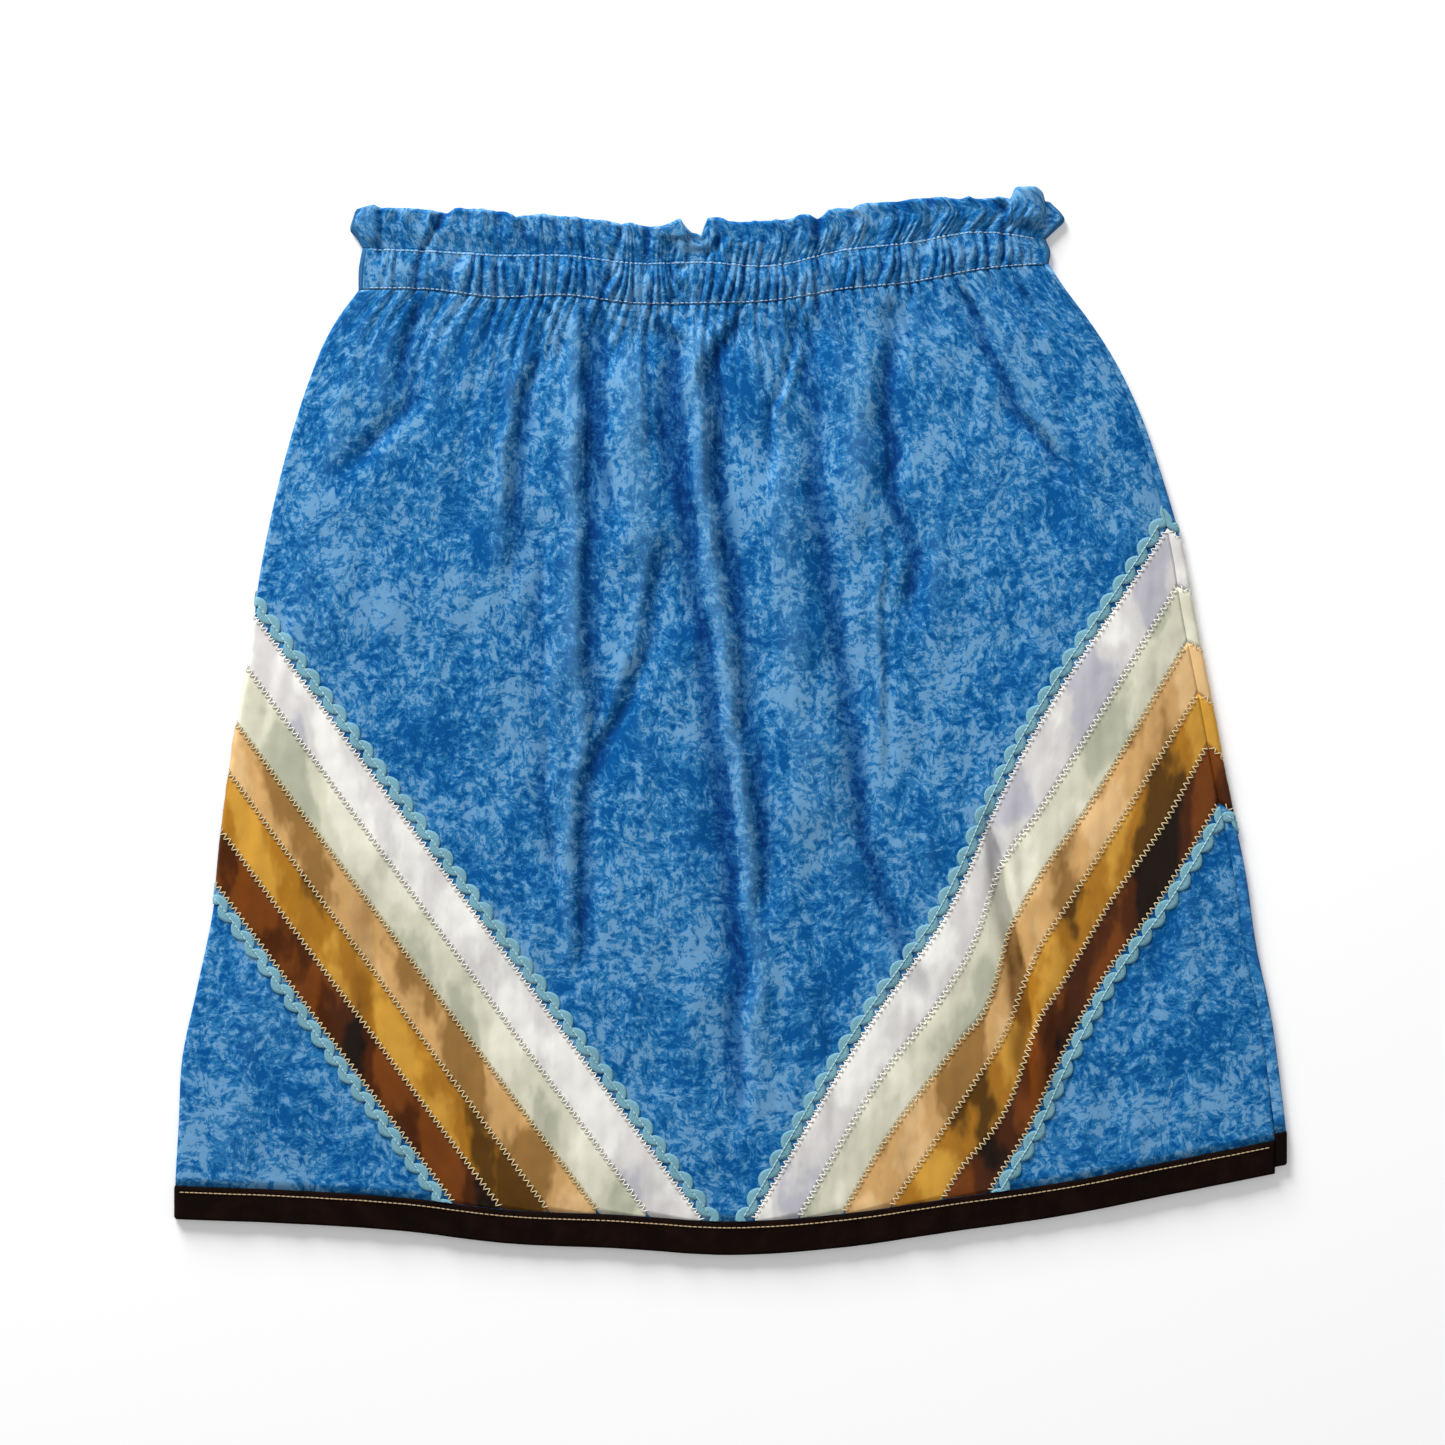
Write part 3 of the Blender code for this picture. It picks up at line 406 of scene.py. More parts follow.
def crease_relief(across, down):
    """Smaller creases below the gathers, each with its own place, length, lean and depth."""
    total = np.zeros_like(across)
    for k in range(CREASES):
        chance, other = uneven(k), uneven(1.7 * k + 3.0)
        place = (k + 0.25 + 0.5 * chance) / CREASES
        length = 0.09 + 0.27 * other**2
        half = 0.0045 + 0.0035 * chance
        wander = 0.025 * (chance - 0.5) * down / length
        total -= (0.5 + 1.2 * other) * ease(1 - down / length) * hump((across - place - wander) / half)
    return total


def soft_floor(relief):
    """Keep a relief above its lowest value with a soft bend."""
    over = relief - LOWEST_RELIEF
    return LOWEST_RELIEF + (over + np.sqrt(over**2 + FLOOR_BEND)) / 2


def side_fade(across):
    """Bring a relief down to nothing at both side edges."""
    return ease(across / SIDE_FADE) * ease((1 - across) / SIDE_FADE)


def gather_relief(across, slant):
    """Height of the small gathers at the waist's stitching."""
    leaning = across + 0.0035 * slant * drift(across * 14, 0.0, 2.0)
    return GATHER_LIFT * (2 * puffs(GATHER_PLACES, leaning, 0.85) - GATHER_LEVEL)


def front_relief(across, x, y, down):
    """Relief of the front panel: swell, gathers, creases and folds."""
    gathers = gather_relief(across, -4 * ease(down * 12)) * ease(1 - down / GATHER_END)**1.25
    swell = read(SWELL, "down", "lift", down)
    calm = HEM_CALM * ease((down - HEM_CALM_START) / (1 - HEM_CALM_START))
    folds = fold_relief(x, y) * (1 - calm) * ease(down / 0.035)
    ripples = 0.45 * drift(x / 30, y / 95, 1.3) + 0.2 * drift(x / 11, y / 34, 4.1)
    settled = ease(down / 0.06)
    small = (crease_relief(across, down) + ripples) * settled + pleat_relief(x, y)
    return soft_floor(swell + gathers + folds + small) * side_fade(across)


class Panel:
    """The outer face of a panel, read by a place across it and a part of the way down.

    Whole numbers across are where one stretch meets the next: the front has its rounded left edge
    (-1 to 0) and its width (0 to 1); the back has its flat width (-1 to 0), its turn round the right
    fold (0 to 1) and the strip to the seam (1 to 2). The unrolled X is the real X on the widths and
    goes on along the cloth past the folds.
    """

    raise_hem = 0.0

    def height(self, across, down):
        """Y at a place."""
        return body_height(self.section(across, down)[0], down, self.raise_hem)

    def point(self, across, down, lift=0.0):
        """Points at a height over the cloth, and the directions that face away from it."""
        x, z, outward = self.section(across, down)
        y = body_height(x, down, self.raise_hem)
        lift = lift + self.relief(across, x, y, down)
        base = np.stack([x, y, z], axis=-1)
        return base + outward * lift[..., None], outward

    def place(self, x, y):
        """Place across and part of the way down of an unrolled X and a Y."""
        down = np.full_like(x, 0.5)
        for _ in range(14):
            across = self.roll(x, down)
            real = self.section(across, down)[0]
            top = body_height(real, np.zeros_like(down), 0.0)
            hem = body_height(real, np.ones_like(down), self.raise_hem)
            off = y - body_height(real, down, self.raise_hem)
            down = np.clip(down - off / (top - hem), 0.0, 1.0)
        return self.roll(x, down), down

    def crossing(self, across, line):
        """How far down each place across reaches a line, or 1 where the hem comes first."""
        low, high = np.zeros_like(across), np.ones_like(across)
        for _ in range(26):
            middle = (low + high) / 2
            above = self.height(across, middle) > line.height(self.unroll(across, middle))
            low, high = np.where(above, middle, low), np.where(above, high, middle)
        return (low + high) / 2


class Front(Panel):
    """The front panel."""

    ends = (-1.0, 1.0)

    def spans(self, down):
        left, _, seam = body_sides(down)
        return left + FRONT_ROUND, FRONT_ROUND * math.pi / 2, seam - SEAM / 2 - left - FRONT_ROUND

    def unroll(self, across, down):
        origin, turn, wide = self.spans(down)
        return origin + np.where(across < 0, across * turn, across * wide)

    def roll(self, x, down):
        origin, turn, wide = self.spans(down)
        return np.where(x < origin, (x - origin) / turn, (x - origin) / wide)

    def section(self, across, down):
        origin, _, wide = self.spans(down)
        angle = np.where(across < 0, (across + 1) * math.pi / 2, math.pi / 2)
        x = origin - FRONT_ROUND * np.cos(angle) + wide * np.maximum(across, 0)
        z = FRONT_LOW + FRONT_ROUND * np.sin(angle)
        return x, z, np.stack([-np.cos(angle), np.zeros_like(x), np.sin(angle)], axis=-1)

    def relief(self, across, x, y, down):
        seam = -0.45 * hump((across - 1.0) * 60)
        return np.where(across < 0, 0.0, front_relief(np.maximum(across, 0), x, y, down) + seam)


class Back(Panel):
    """The back panel, flat underneath and turned over the right fold."""

    ends = (-1.0, 2.0)
    raise_hem = BACK_HEM_RAISE
    turn = BACK_ROUND * math.pi

    def spans(self, down):
        left, right, seam = body_sides(down)
        return right - BACK_ROUND, right - BACK_ROUND - left, right - BACK_ROUND - seam - SEAM / 2

    def unroll(self, across, down):
        origin, wide, strip = self.spans(down)
        folded = np.clip(across, 0, 1) * self.turn + np.maximum(across - 1, 0) * strip
        return origin + np.where(across < 0, across * wide, folded)

    def roll(self, x, down):
        origin, wide, strip = self.spans(down)
        along = x - origin
        folded = np.where(along < self.turn, along / self.turn, 1 + (along - self.turn) / strip)
        return np.where(along < 0, along / wide, folded)

    def section(self, across, down):
        origin, wide, strip = self.spans(down)
        angle = (np.clip(across, 0, 1) - 0.5) * math.pi
        x = origin + BACK_ROUND * np.cos(angle)
        x = x + wide * np.minimum(across, 0) - strip * np.maximum(across - 1, 0)
        z = UNDER + BACK_ROUND * (1 + np.sin(angle))
        return x, z, np.stack([np.cos(angle), np.zeros_like(x), np.sin(angle)], axis=-1)

    def relief(self, across, x, y, down):
        return -0.45 * hump((across - 2.0) * 3)


class Line:
    """A line of the trim over a panel's unrolled X, through two points or more."""

    def __init__(self, *points, curved=False):
        self.points = np.array(sorted(points), float)
        if curved:
            x, y = self.points.T
            fine = np.linspace(x[0], x[-1], 60)
            self.points = np.column_stack([fine, read({"x": x, "y": y}, "x", "y", fine)])

    def height(self, x):
        """Y at an unrolled X, also past the line's ends."""
        xs, ys = self.points.T
        y = np.interp(x, xs, ys)
        first = (ys[1] - ys[0]) / (xs[1] - xs[0])
        last = (ys[-1] - ys[-2]) / (xs[-1] - xs[-2])
        return y + first * np.minimum(x - xs[0], 0) + last * np.maximum(x - xs[-1], 0)

    def beside(self, distance, offset):
        """Points at a distance along the line and an offset above it."""
        steps = np.diff(self.points, axis=0)
        lengths = np.hypot(*steps.T)
        starts = np.concatenate([[0], np.cumsum(lengths)[:-1]])
        k = np.clip(np.searchsorted(starts, distance, side="right") - 1, 0, len(lengths) - 1)
        along = steps[k] / lengths[k][:, None]
        upward = np.stack([-along[:, 1], along[:, 0]], axis=1)
        base = self.points[k] + along * (distance - starts[k])[:, None]
        return base + upward * np.reshape(offset, (-1, 1))

    @property
    def length(self):
        return float(np.hypot(*np.diff(self.points, axis=0).T).sum())


def edge_down(side, y):
    """How far down the body a height lies at its left fold, right fold or right seam."""
    down = 0.5
    for _ in range(20):
        x = dict(zip(("left", "right", "seam"), body_sides(down)))[side]
        top, hem = body_height(x, 0.0, 0.0), body_height(x, 1.0, 0.0)
        down = float((top - y) / (top - hem))
    return down


def trim_lines(panel, side):
    """The six edges of the five ribbons on one side of a panel, from the uppermost down."""
    lines = []
    for k in range(len(RIBBON_EDGES["left_y"])):
        left_y, left_hem_x, seam_y, right_hem_x, turn_y = (
            float(column[k]) for column in RIBBON_EDGES.values()
        )
        hem_x = left_hem_x if side == "left" else right_hem_x
        points = [(hem_x, float(body_height(hem_x, 1.0, panel.raise_hem)))]
        bends = ()
        if side == "left":
            points.append((float(panel.unroll(-1.0, edge_down("left", left_y))), left_y))
        else:
            points.append((float(panel.unroll(panel.ends[1], edge_down("seam", seam_y))), seam_y))
            if panel is BACK:
                points.append((float(panel.unroll(0.5, edge_down("right", turn_y))), turn_y))
            else:
                bends = RIGHT_BENDS[k]
        lines.append(Line(*points, *bends, curved=bool(bends)))
    return lines


# Meshes

def quads(rows, columns):
    """Corners of the quads of a grid whose points are numbered row by row."""
    first = (np.arange(rows - 1)[:, None] * columns + np.arange(columns - 1)).ravel()
    return np.stack([first, first + 1, first + columns + 1, first + columns], axis=1)


def add_mesh(name, points, faces, cloth, look, hollows=None):
    """A smooth mesh of quads, with its places on the flat cloth in metres and the depth of its hollows,
    which sets painted shade and painted highlight.
    """
    mesh = bpy.data.meshes.new(name)
    mesh.vertices.add(len(points))
    mesh.vertices.foreach_set("co", (points * MM).astype(np.float32).ravel())
    mesh.loops.add(faces.size)
    mesh.loops.foreach_set("vertex_index", faces.astype(np.int32).ravel())
    mesh.polygons.add(len(faces))
    mesh.polygons.foreach_set("loop_start", np.arange(0, faces.size, 4, dtype=np.int32))
    mesh.polygons.foreach_set("use_smooth", np.ones(len(faces), bool))
    mesh.update(calc_edges=True)
    mesh.validate()
    places = mesh.attributes.new("cloth", "FLOAT_VECTOR", "POINT")
    flat = np.column_stack([cloth, np.zeros(len(cloth))]) * MM
    places.data.foreach_set("vector", flat.astype(np.float32).ravel())
    if hollows is not None:
        depths = mesh.attributes.new("hollow", "FLOAT", "POINT")
        depths.data.foreach_set("value", hollows.astype(np.float32).ravel())
    mesh.materials.append(look)
    piece = bpy.data.objects.new(name, mesh)
    bpy.context.scene.collection.objects.link(piece)
    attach(piece, "root")
    return piece


def unit(vectors):
    """Vectors of length one."""
    return vectors / np.maximum(np.linalg.norm(vectors, axis=-1, keepdims=True), 1e-9)


def shell(grid, thickness, facing):
    """A thin closed shell inside a grid of outer points; facing is the sign of Z at its middle.

    Returns its points, its quads and, for each point, the number of the grid point that it belongs to.
    """
    rows, columns = grid.shape[:2]
    normals = unit(np.cross(np.gradient(grid, axis=1), np.gradient(grid, axis=0)))
    faces = quads(rows, columns)
    edge_rows = np.arange(rows)
    ring = np.concatenate([
        np.arange(columns),
        edge_rows[1:] * columns + columns - 1,
        (rows - 1) * columns + np.arange(columns - 2, -1, -1),
        edge_rows[-2:0:-1] * columns,
    ])
    if normals[rows // 2, columns // 2, 2] * facing < 0:
        normals = -normals
        faces = faces[:, ::-1]
        ring = ring[::-1]
    count = rows * columns
    after = np.roll(ring, -1)
    rim = np.stack([after, ring, ring + count, after + count], axis=1)
    points = np.concatenate([grid.reshape(-1, 3), (grid - normals * thickness).reshape(-1, 3)])
    return points, np.concatenate([faces, faces[:, ::-1] + count, rim]), np.tile(np.arange(count), 2)


def hollows(grid):
    """How far each point of a grid lies below the cloth beside it along its row, in millimetres; the
    finishes paint shade into the hollows and light onto the crests by it.
    """
    height = grid[..., 2]
    columns = np.arange(height.shape[1])
    total = np.zeros_like(height)
    for reach in HOLLOW_REACHES:
        for step in range(-reach, reach + 1):
            total += height[:, np.clip(columns + step, 0, columns[-1])] / (2 * reach + 1)
    return total / len(HOLLOW_REACHES) - height


def add_shell(name, grid, cloth, thickness, facing, look):
    """A thin closed shell as a piece."""
    points, faces, origin = shell(grid, thickness, facing)
    depths = hollows(grid).ravel()[origin]
    return add_mesh(name, points, faces, cloth.reshape(-1, 2)[origin], look, depths)


def add_tubes(name, paths, outward, wide, high, look):
    """Separate short tubes with tapered ends, from paths of the same number of points each."""
    sides = 6
    runs, count = paths.shape[:2]
    along = unit(np.gradient(paths, axis=1))
    sideways = unit(np.cross(along, outward))
    over = np.cross(sideways, along)
    taper = np.ones(count)
    taper[[0, -1]] = 0.45
    angles = np.arange(sides) * 2 * math.pi / sides
    ring = (
        sideways[:, :, None, :] * (wide * np.cos(angles))[None, None, :, None]
        + over[:, :, None, :] * (high * np.sin(angles))[None, None, :, None]
    )
    points = (paths[:, :, None, :] + ring * taper[None, :, None, None]).reshape(-1, 3)
    k = np.arange(sides)
    after = (k + 1) % sides
    one = []
    for step in range(count - 1):
        one.append(np.stack([step * sides + k, step * sides + after,
                             (step + 1) * sides + after, (step + 1) * sides + k], axis=1))
    last = (count - 1) * sides
    one.append(np.array([(3, 2, 1, 0), (5, 4, 3, 0)]))
    one.append(np.array([(last, last + 1, last + 2, last + 3), (last, last + 3, last + 4, last + 5)]))
    one = np.concatenate(one)
    faces = (one[None] + (np.arange(runs) * count * sides)[:, None, None]).reshape(-1, 4)
    lengths = np.linalg.norm(np.diff(paths, axis=1), axis=2)
    distance = np.concatenate([np.zeros((runs, 1)), np.cumsum(lengths, axis=1)], axis=1)
    cloth = np.stack([np.repeat(distance, sides, axis=1).ravel(), np.tile(angles, runs * count)], axis=1)
    return add_mesh(name, points, faces, cloth, look)


# Finishes

def tone(red, green, blue):
    """A linear colour from its values on a screen, 0 to 255."""
    def linear(value):
        value /= 255
        return value / 12.92 if value <= 0.04045 else ((value + 0.055) / 1.055)**2.4
    return (linear(red), linear(green), linear(blue), 1.0)


class Wire:
    """A node's output with arithmetic, so that a finish reads as a formula."""

    tree = None

    def __init__(self, socket):
        self.socket = socket

    @classmethod
    def node(cls, kind, inputs, output=0, **options):
        """Add a node, set its options, feed its inputs and return one of its outputs."""
        node = cls.tree.nodes.new(kind)
        for option, value in options.items():
            setattr(node, option, value)
        for key, value in inputs.items():
            if isinstance(value, Wire):
                cls.tree.links.new(value.socket, node.inputs[key])
            else:
                node.inputs[key].default_value = value
        return cls(node.outputs[output])

    @classmethod
    def math(cls, operation, first, second=0.0):
        return cls.node("ShaderNodeMath", {0: first, 1: second}, operation=operation)

    def __add__(self, other):
        return self.math("ADD", self, other)

    def __sub__(self, other):
        return self.math("SUBTRACT", self, other)

    def __mul__(self, other):
        return self.math("MULTIPLY", self, other)

    __radd__ = __add__
    __rmul__ = __mul__


def cloth_place():
    """Place on the flat cloth, in metres."""
    return Wire.node("ShaderNodeAttribute", {}, output=1, attribute_name="cloth")


def hollow_depth():
    """How far the cloth lies below the cloth beside it, in millimetres; it sets the painted shade in
    hollows and the painted highlight on crests.
    """
    return Wire.node("ShaderNodeAttribute", {}, output=2, attribute_name="hollow")


def shaded_in_hollows(colour, deepest, tint):
    """A colour with painted shade in hollows: it darkens to its product with the tint in hollows of that
    depth, in millimetres.
    """
    return mix(between(hollow_depth(), -0.1, deepest), colour, vector("MULTIPLY", colour, tint))


def vector(operation, first, second):
    """Arithmetic on vectors."""
    return Wire.node("ShaderNodeVectorMath", {0: first, 1: second}, operation=operation)


def stretch(place, x, y):
    """A place scaled by its own amount each way."""
    return vector("MULTIPLY", place, (x, y, 1.0))


def moved(place, amount, by):
    """A place pushed about by a noise of that size, in metres."""
    push = vector("SUBTRACT", noise(place, 1 / by, 2.0, output=1), (0.5, 0.5, 0.5))
    return vector("ADD", place, vector("MULTIPLY", push, (amount, amount, 0.0)))


def noise(place, scale, detail, distortion=0.0, roughness=0.55, output=0):
    """Soft noise whose swells are one over scale apart."""
    inputs = {
        "Vector": place,
        "Scale": scale,
        "Detail": detail,
        "Roughness": roughness,
        "Distortion": distortion,
    }
    return Wire.node("ShaderNodeTexNoise", inputs, output=output)


def between(value, low, high):
    """A smooth step from 0 at low to 1 at high."""
    inputs = {"Value": value, "From Min": low, "From Max": high}
    return Wire.node("ShaderNodeMapRange", inputs, interpolation_type="SMOOTHSTEP")


def mix(amount, first, second):
    """A colour between two."""
    return Wire.node("ShaderNodeMix", {0: amount, 6: first, 7: second}, output=2, data_type="RGBA")


def part(place, axis):
    """X or Y of a place."""
    return Wire.node("ShaderNodeSeparateXYZ", {0: place}, output=axis)


def bump(height, distance, normal=None):
    """A normal from a height; distance in millimetres is what a height of 1 stands for."""
    inputs = {"Strength": 1.0, "Distance": distance * MM, "Height": height}
    if normal is not None:
        inputs["Normal"] = normal
    return Wire.node("ShaderNodeBump", inputs)


def finish(name, recipe, **constants):
    """A material whose recipe returns its colour, roughness and normal; constants go on the shader."""
    look = bpy.data.materials.new(name)
    look.use_nodes = True
    Wire.tree = look.node_tree
    shader = look.node_tree.nodes["Principled BSDF"]
    for socket, value in zip(("Base Color", "Roughness", "Normal"), recipe()):
        look.node_tree.links.new(value.socket, shader.inputs[socket])
    for socket, value in constants.items():
        shader.inputs[socket.replace("_", " ")].default_value = value
    return look


def weave(place, pitch):
    """Height of a plain weave, from two sets of threads."""
    waves = [
        Wire.math("SINE", part(place, axis) * (2 * math.pi / (pitch * MM)))
        for axis in (0, 1)
    ]
    return waves[0] * waves[1]


def cotton_print():
    """Mottled blue cotton: jagged blots with feathery edges, gathered in light and dark patches, with
    painted shade in its hollows and a painted highlight on its crests.
    """
    place = cloth_place()
    bent = moved(moved(place, 0.016, 0.034), 0.005, 0.008)
    patch = noise(place, 24.0, 2.0)
    broad = noise(place, 9.0, 1.0)
    upright = noise(stretch(bent, 1.0, 0.6), 260.0, 5.0, roughness=0.68)
    level = noise(stretch(bent, 0.6, 1.0), 240.0, 5.0, roughness=0.68)
    turn = between(noise(bent, 60.0, 1.0), 0.43, 0.57)
    stroke = upright + (level - upright) * turn
    blot = noise(bent, 120.0, 6.0, roughness=0.76)
    fleck = noise(stretch(bent, 0.7, 1.0), 520.0, 3.0, roughness=0.7)
    amount = (blot + stroke) * 0.5 + 0.18 * (fleck - 0.5) + 0.28 * (patch - 0.5) + 0.10 * (broad - 0.5)
    middle = mix(between(amount, 0.45, 0.49), tone(108, 160, 203), tone(40, 119, 178))
    dark = mix(between(amount, 0.515, 0.555), middle, tone(0, 84, 151))
    # Painted highlight: crests that stand above the cloth beside them are lightened.
    crest_highlighted = mix(between(hollow_depth(), -0.2, -2.4) * 0.22, dark, tone(120, 176, 216))
    # Painted shade: the print darkens in the hollows of the folds, gathers and creases.
    colour = shaded_in_hollows(crest_highlighted, 2.5, (0.18, 0.42, 0.60))
    grain = noise(place, 900.0, 2.0)
    crinkle = noise(place, 130.0, 3.0)
    return colour, 0.82 + 0.1 * grain, bump(weave(place, 0.55), 0.04, bump(crinkle, 0.5))


def satin(light, middle, dark, painted_shade_tint):
    """Satin ribbon: wide soft patches of painted highlight and painted shade that stand for its undulations
    catching the light, fine threads along it.
    """
    def recipe():
        place = cloth_place()
        over = Wire.node("ShaderNodeTexCoord", {}, output=3)
        cloud = noise(stretch(moved(over, 0.012, 0.05), 1.0, 0.42), 30.0, 0.6)
        small = noise(stretch(over, 1.0, 0.5), 95.0, 2.0)
        threads = noise(stretch(place, 90.0, 3200.0), 1.0, 1.0)
        amount = cloud * 0.76 + small * 0.24
        # Painted shade and painted highlight: soft patches darken and lighten the ribbon's middle tone.
        shade = mix(between(amount, 0.38, 0.46), dark, middle)
        painted_sheen = mix(between(amount, 0.50, 0.58), shade, light)
        # Painted shade: the satin darkens in the hollows of the cloth under it.
        colour = shaded_in_hollows(painted_sheen, 2.4, painted_shade_tint)
        rough = 0.36 + 0.12 * small
        return colour, rough, bump(threads, 0.03, bump(cloud, 0.8, bump(small, 0.4)))
    return recipe


def braid():
    """Rickrack: a fine diagonal plait in pale teal, with painted shade in the plait's grooves."""
    place = cloth_place()
    along, across = part(place, 0), part(place, 1)
    plait = Wire.math("SINE", (along + across) * 5600.0) * Wire.math("SINE", (along - across) * 5600.0)
    patch = noise(place, 110.0, 2.0)
    # Painted shade: the plait's grooves are darker and its raised strands lighter, with the same pattern as
    # its bump.
    colour = mix(between(plait, -0.8, 0.8), tone(102, 162, 184), tone(142, 194, 209))
    colour = mix(patch * 0.3, colour, tone(160, 206, 218))
    return colour, 0.8 + 0.1 * patch, bump(plait, 0.16, bump(patch, 0.2))


def binding():
    """Hem binding: near-black brown cotton with a faint weave."""
    place = cloth_place()
    cloud = noise(place, 60.0, 3.0)
    colour = mix(between(cloud, 0.35, 0.7), tone(12, 3, 1), tone(26, 9, 4))
    return colour, 0.8 + 0.12 * cloud, bump(weave(place, 0.6), 0.05, bump(noise(place, 160.0, 3.0), 0.4))


def thread(colour):
    """Sewing thread with its twist."""
    def recipe():
        place = cloth_place()
        twist = Wire.math("SINE", part(place, 0) * 9000.0 + part(place, 1) * 1000.0)
        shade = mix(0.14 * between(twist, -1.0, 1.0), colour, tone(90, 80, 70))
        return shade, 0.6 + 0.1 * twist, bump(twist, 0.05)
    return recipe


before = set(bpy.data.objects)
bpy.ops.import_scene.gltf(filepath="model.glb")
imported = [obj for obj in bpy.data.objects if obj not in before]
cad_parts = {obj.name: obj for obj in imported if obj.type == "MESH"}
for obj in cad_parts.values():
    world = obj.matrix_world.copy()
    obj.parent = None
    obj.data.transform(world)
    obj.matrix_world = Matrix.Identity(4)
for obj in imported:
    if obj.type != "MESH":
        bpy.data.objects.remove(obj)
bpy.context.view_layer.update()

COTTON_LOOK = finish("cotton_print", cotton_print, Specular_IOR_Level=0.1)
BINDING_LOOK = finish("hem_binding", binding, Specular_IOR_Level=0.08)
BRAID_LOOK = finish("rickrack_braid", braid, Specular_IOR_Level=0.2)
# Tints of the painted shade in hollows, for the pale satins and for the warm ones.
COOL_PAINTED_SHADE = (0.60, 0.60, 0.63)
WARM_PAINTED_SHADE = (0.44, 0.38, 0.30)
# For each satin: painted highlight tone, middle tone, painted shade tone and the tint of its painted shade
# in hollows.
SATIN_PAINTED_LIGHT_TONES = {
    "white": (tone(242, 240, 234), tone(220, 217, 215), tone(190, 189, 197), COOL_PAINTED_SHADE),
    "ivory": (tone(234, 231, 211), tone(215, 213, 190), tone(183, 184, 162), COOL_PAINTED_SHADE),
    "champagne": (tone(230, 190, 134), tone(210, 165, 105), tone(152, 112, 58), WARM_PAINTED_SHADE),
    "bronze": (tone(208, 154, 58), tone(172, 116, 30), tone(88, 56, 6), WARM_PAINTED_SHADE),
    "brown": (tone(116, 60, 12), tone(72, 32, 2), tone(24, 8, 0), WARM_PAINTED_SHADE),
}
SATIN_LOOKS = {
    name: finish(f"{name}_satin", satin(*tones), Specular_IOR_Level=0.16)
    for name, tones in SATIN_PAINTED_LIGHT_TONES.items()
}
CREAM_THREAD = finish("cream_thread", thread(tone(226, 206, 160)), Specular_IOR_Level=0.4)
WHITE_THREAD = finish("white_thread", thread(tone(250, 248, 240)), Specular_IOR_Level=0.4)
BLUE_THREAD = finish("pale_blue_thread", thread(tone(178, 200, 218)), Specular_IOR_Level=0.4)
BEIGE_THREAD = finish("beige_thread", thread(tone(196, 170, 130)), Specular_IOR_Level=0.4)
TEAL_THREAD = finish("pale_teal_thread", thread(tone(176, 216, 228)), Specular_IOR_Level=0.4)

FRONT = Front()
BACK = Back()


def columns_through(places, each):
    """Places across with the same number of columns between each two."""
    steps = np.arange((len(places) - 1) * each + 1) / each
    return np.interp(steps, np.arange(len(places)), places)


LEFT_TURN = np.array([EDGE_OVERLAP, -1.0, -0.84, -0.68, -0.52, -0.36, -0.18])
FRONT_COLUMNS = np.concatenate([LEFT_TURN, columns_through(GATHER_PLACES, 6)])
FRONT_DOWNS = np.concatenate([np.linspace(0, 0.17, 52)[:-1], np.linspace(0.17, 1, 80)])
BACK_COLUMNS = np.concatenate([
    np.linspace(-1, 0, 61)[:-1],
    np.linspace(0, 1, 13)[:-1],
    np.linspace(1, 2, 5),
])
BACK_TRIM_COLUMNS = np.concatenate([
    np.linspace(-1, 0, 161)[:-1],
    np.linspace(0, 1, 13)[:-1],
    np.linspace(1, 2, 5),
])
BACK_DOWNS = np.linspace(0, 1, 70)


def panel_cloth(across, down, shift):
    """Places on the flat cut of a panel; the shift shows another part of the print."""
    return np.stack([across * FLAT_WIDE + shift, -down * FLAT_BODY], axis=-1)


def add_front_panel():
    """Front panel."""
    across, down = np.meshgrid(FRONT_COLUMNS, FRONT_DOWNS)
    grid, _ = FRONT.point(across, down)
    place = np.where(across < 0, across * FRONT_ROUND * math.pi / 2 / FLAT_WIDE, across)
    return add_shell("front_panel_cloth", grid, panel_cloth(place, down, 0.0), CLOTH, 1, COTTON_LOOK)


def add_back_panel():
    """Back panel, flat underneath, with the strip that shows inside the right fold."""
    across, down = np.meshgrid(BACK_COLUMNS, BACK_DOWNS)
    grid, _ = BACK.point(across, down)
    place = BACK.unroll(across, down) / FLAT_WIDE
    return add_shell("back_panel_cloth", grid, panel_cloth(place, down, 1500.0), CLOTH, -1, COTTON_LOOK)


def waist_section(left, right, across):
    """X, Z and outward direction at a place across the waist; -1 to 0 and 1 to 2 are its turns."""
    right_turn = np.where(across > 1, across * math.pi / 2, math.pi / 2)
    turn = np.where(across < 0, (across + 1) * math.pi / 2, right_turn)
    x = (
        left + FRONT_ROUND + (right - left - 2 * FRONT_ROUND) * np.clip(across, 0, 1)
        - FRONT_ROUND * np.cos(turn)
    )
    z = FRONT_LOW + FRONT_ROUND * np.sin(turn)
    return x, z, np.stack([-np.cos(turn), np.zeros_like(x), np.sin(turn)], axis=-1)


WAIST_COLUMNS = np.concatenate([LEFT_TURN, columns_through(GATHER_PLACES, 8), 1 - LEFT_TURN[::-1]])


def casing_height(across, up):
    """Y inside the casing."""
    low = read(ACROSS, "across", "lower_stitch", across) + SEAM / 2
    high = read(ACROSS, "across", "upper_stitch", across) - SEAM / 2
    return low + (high - low) * up


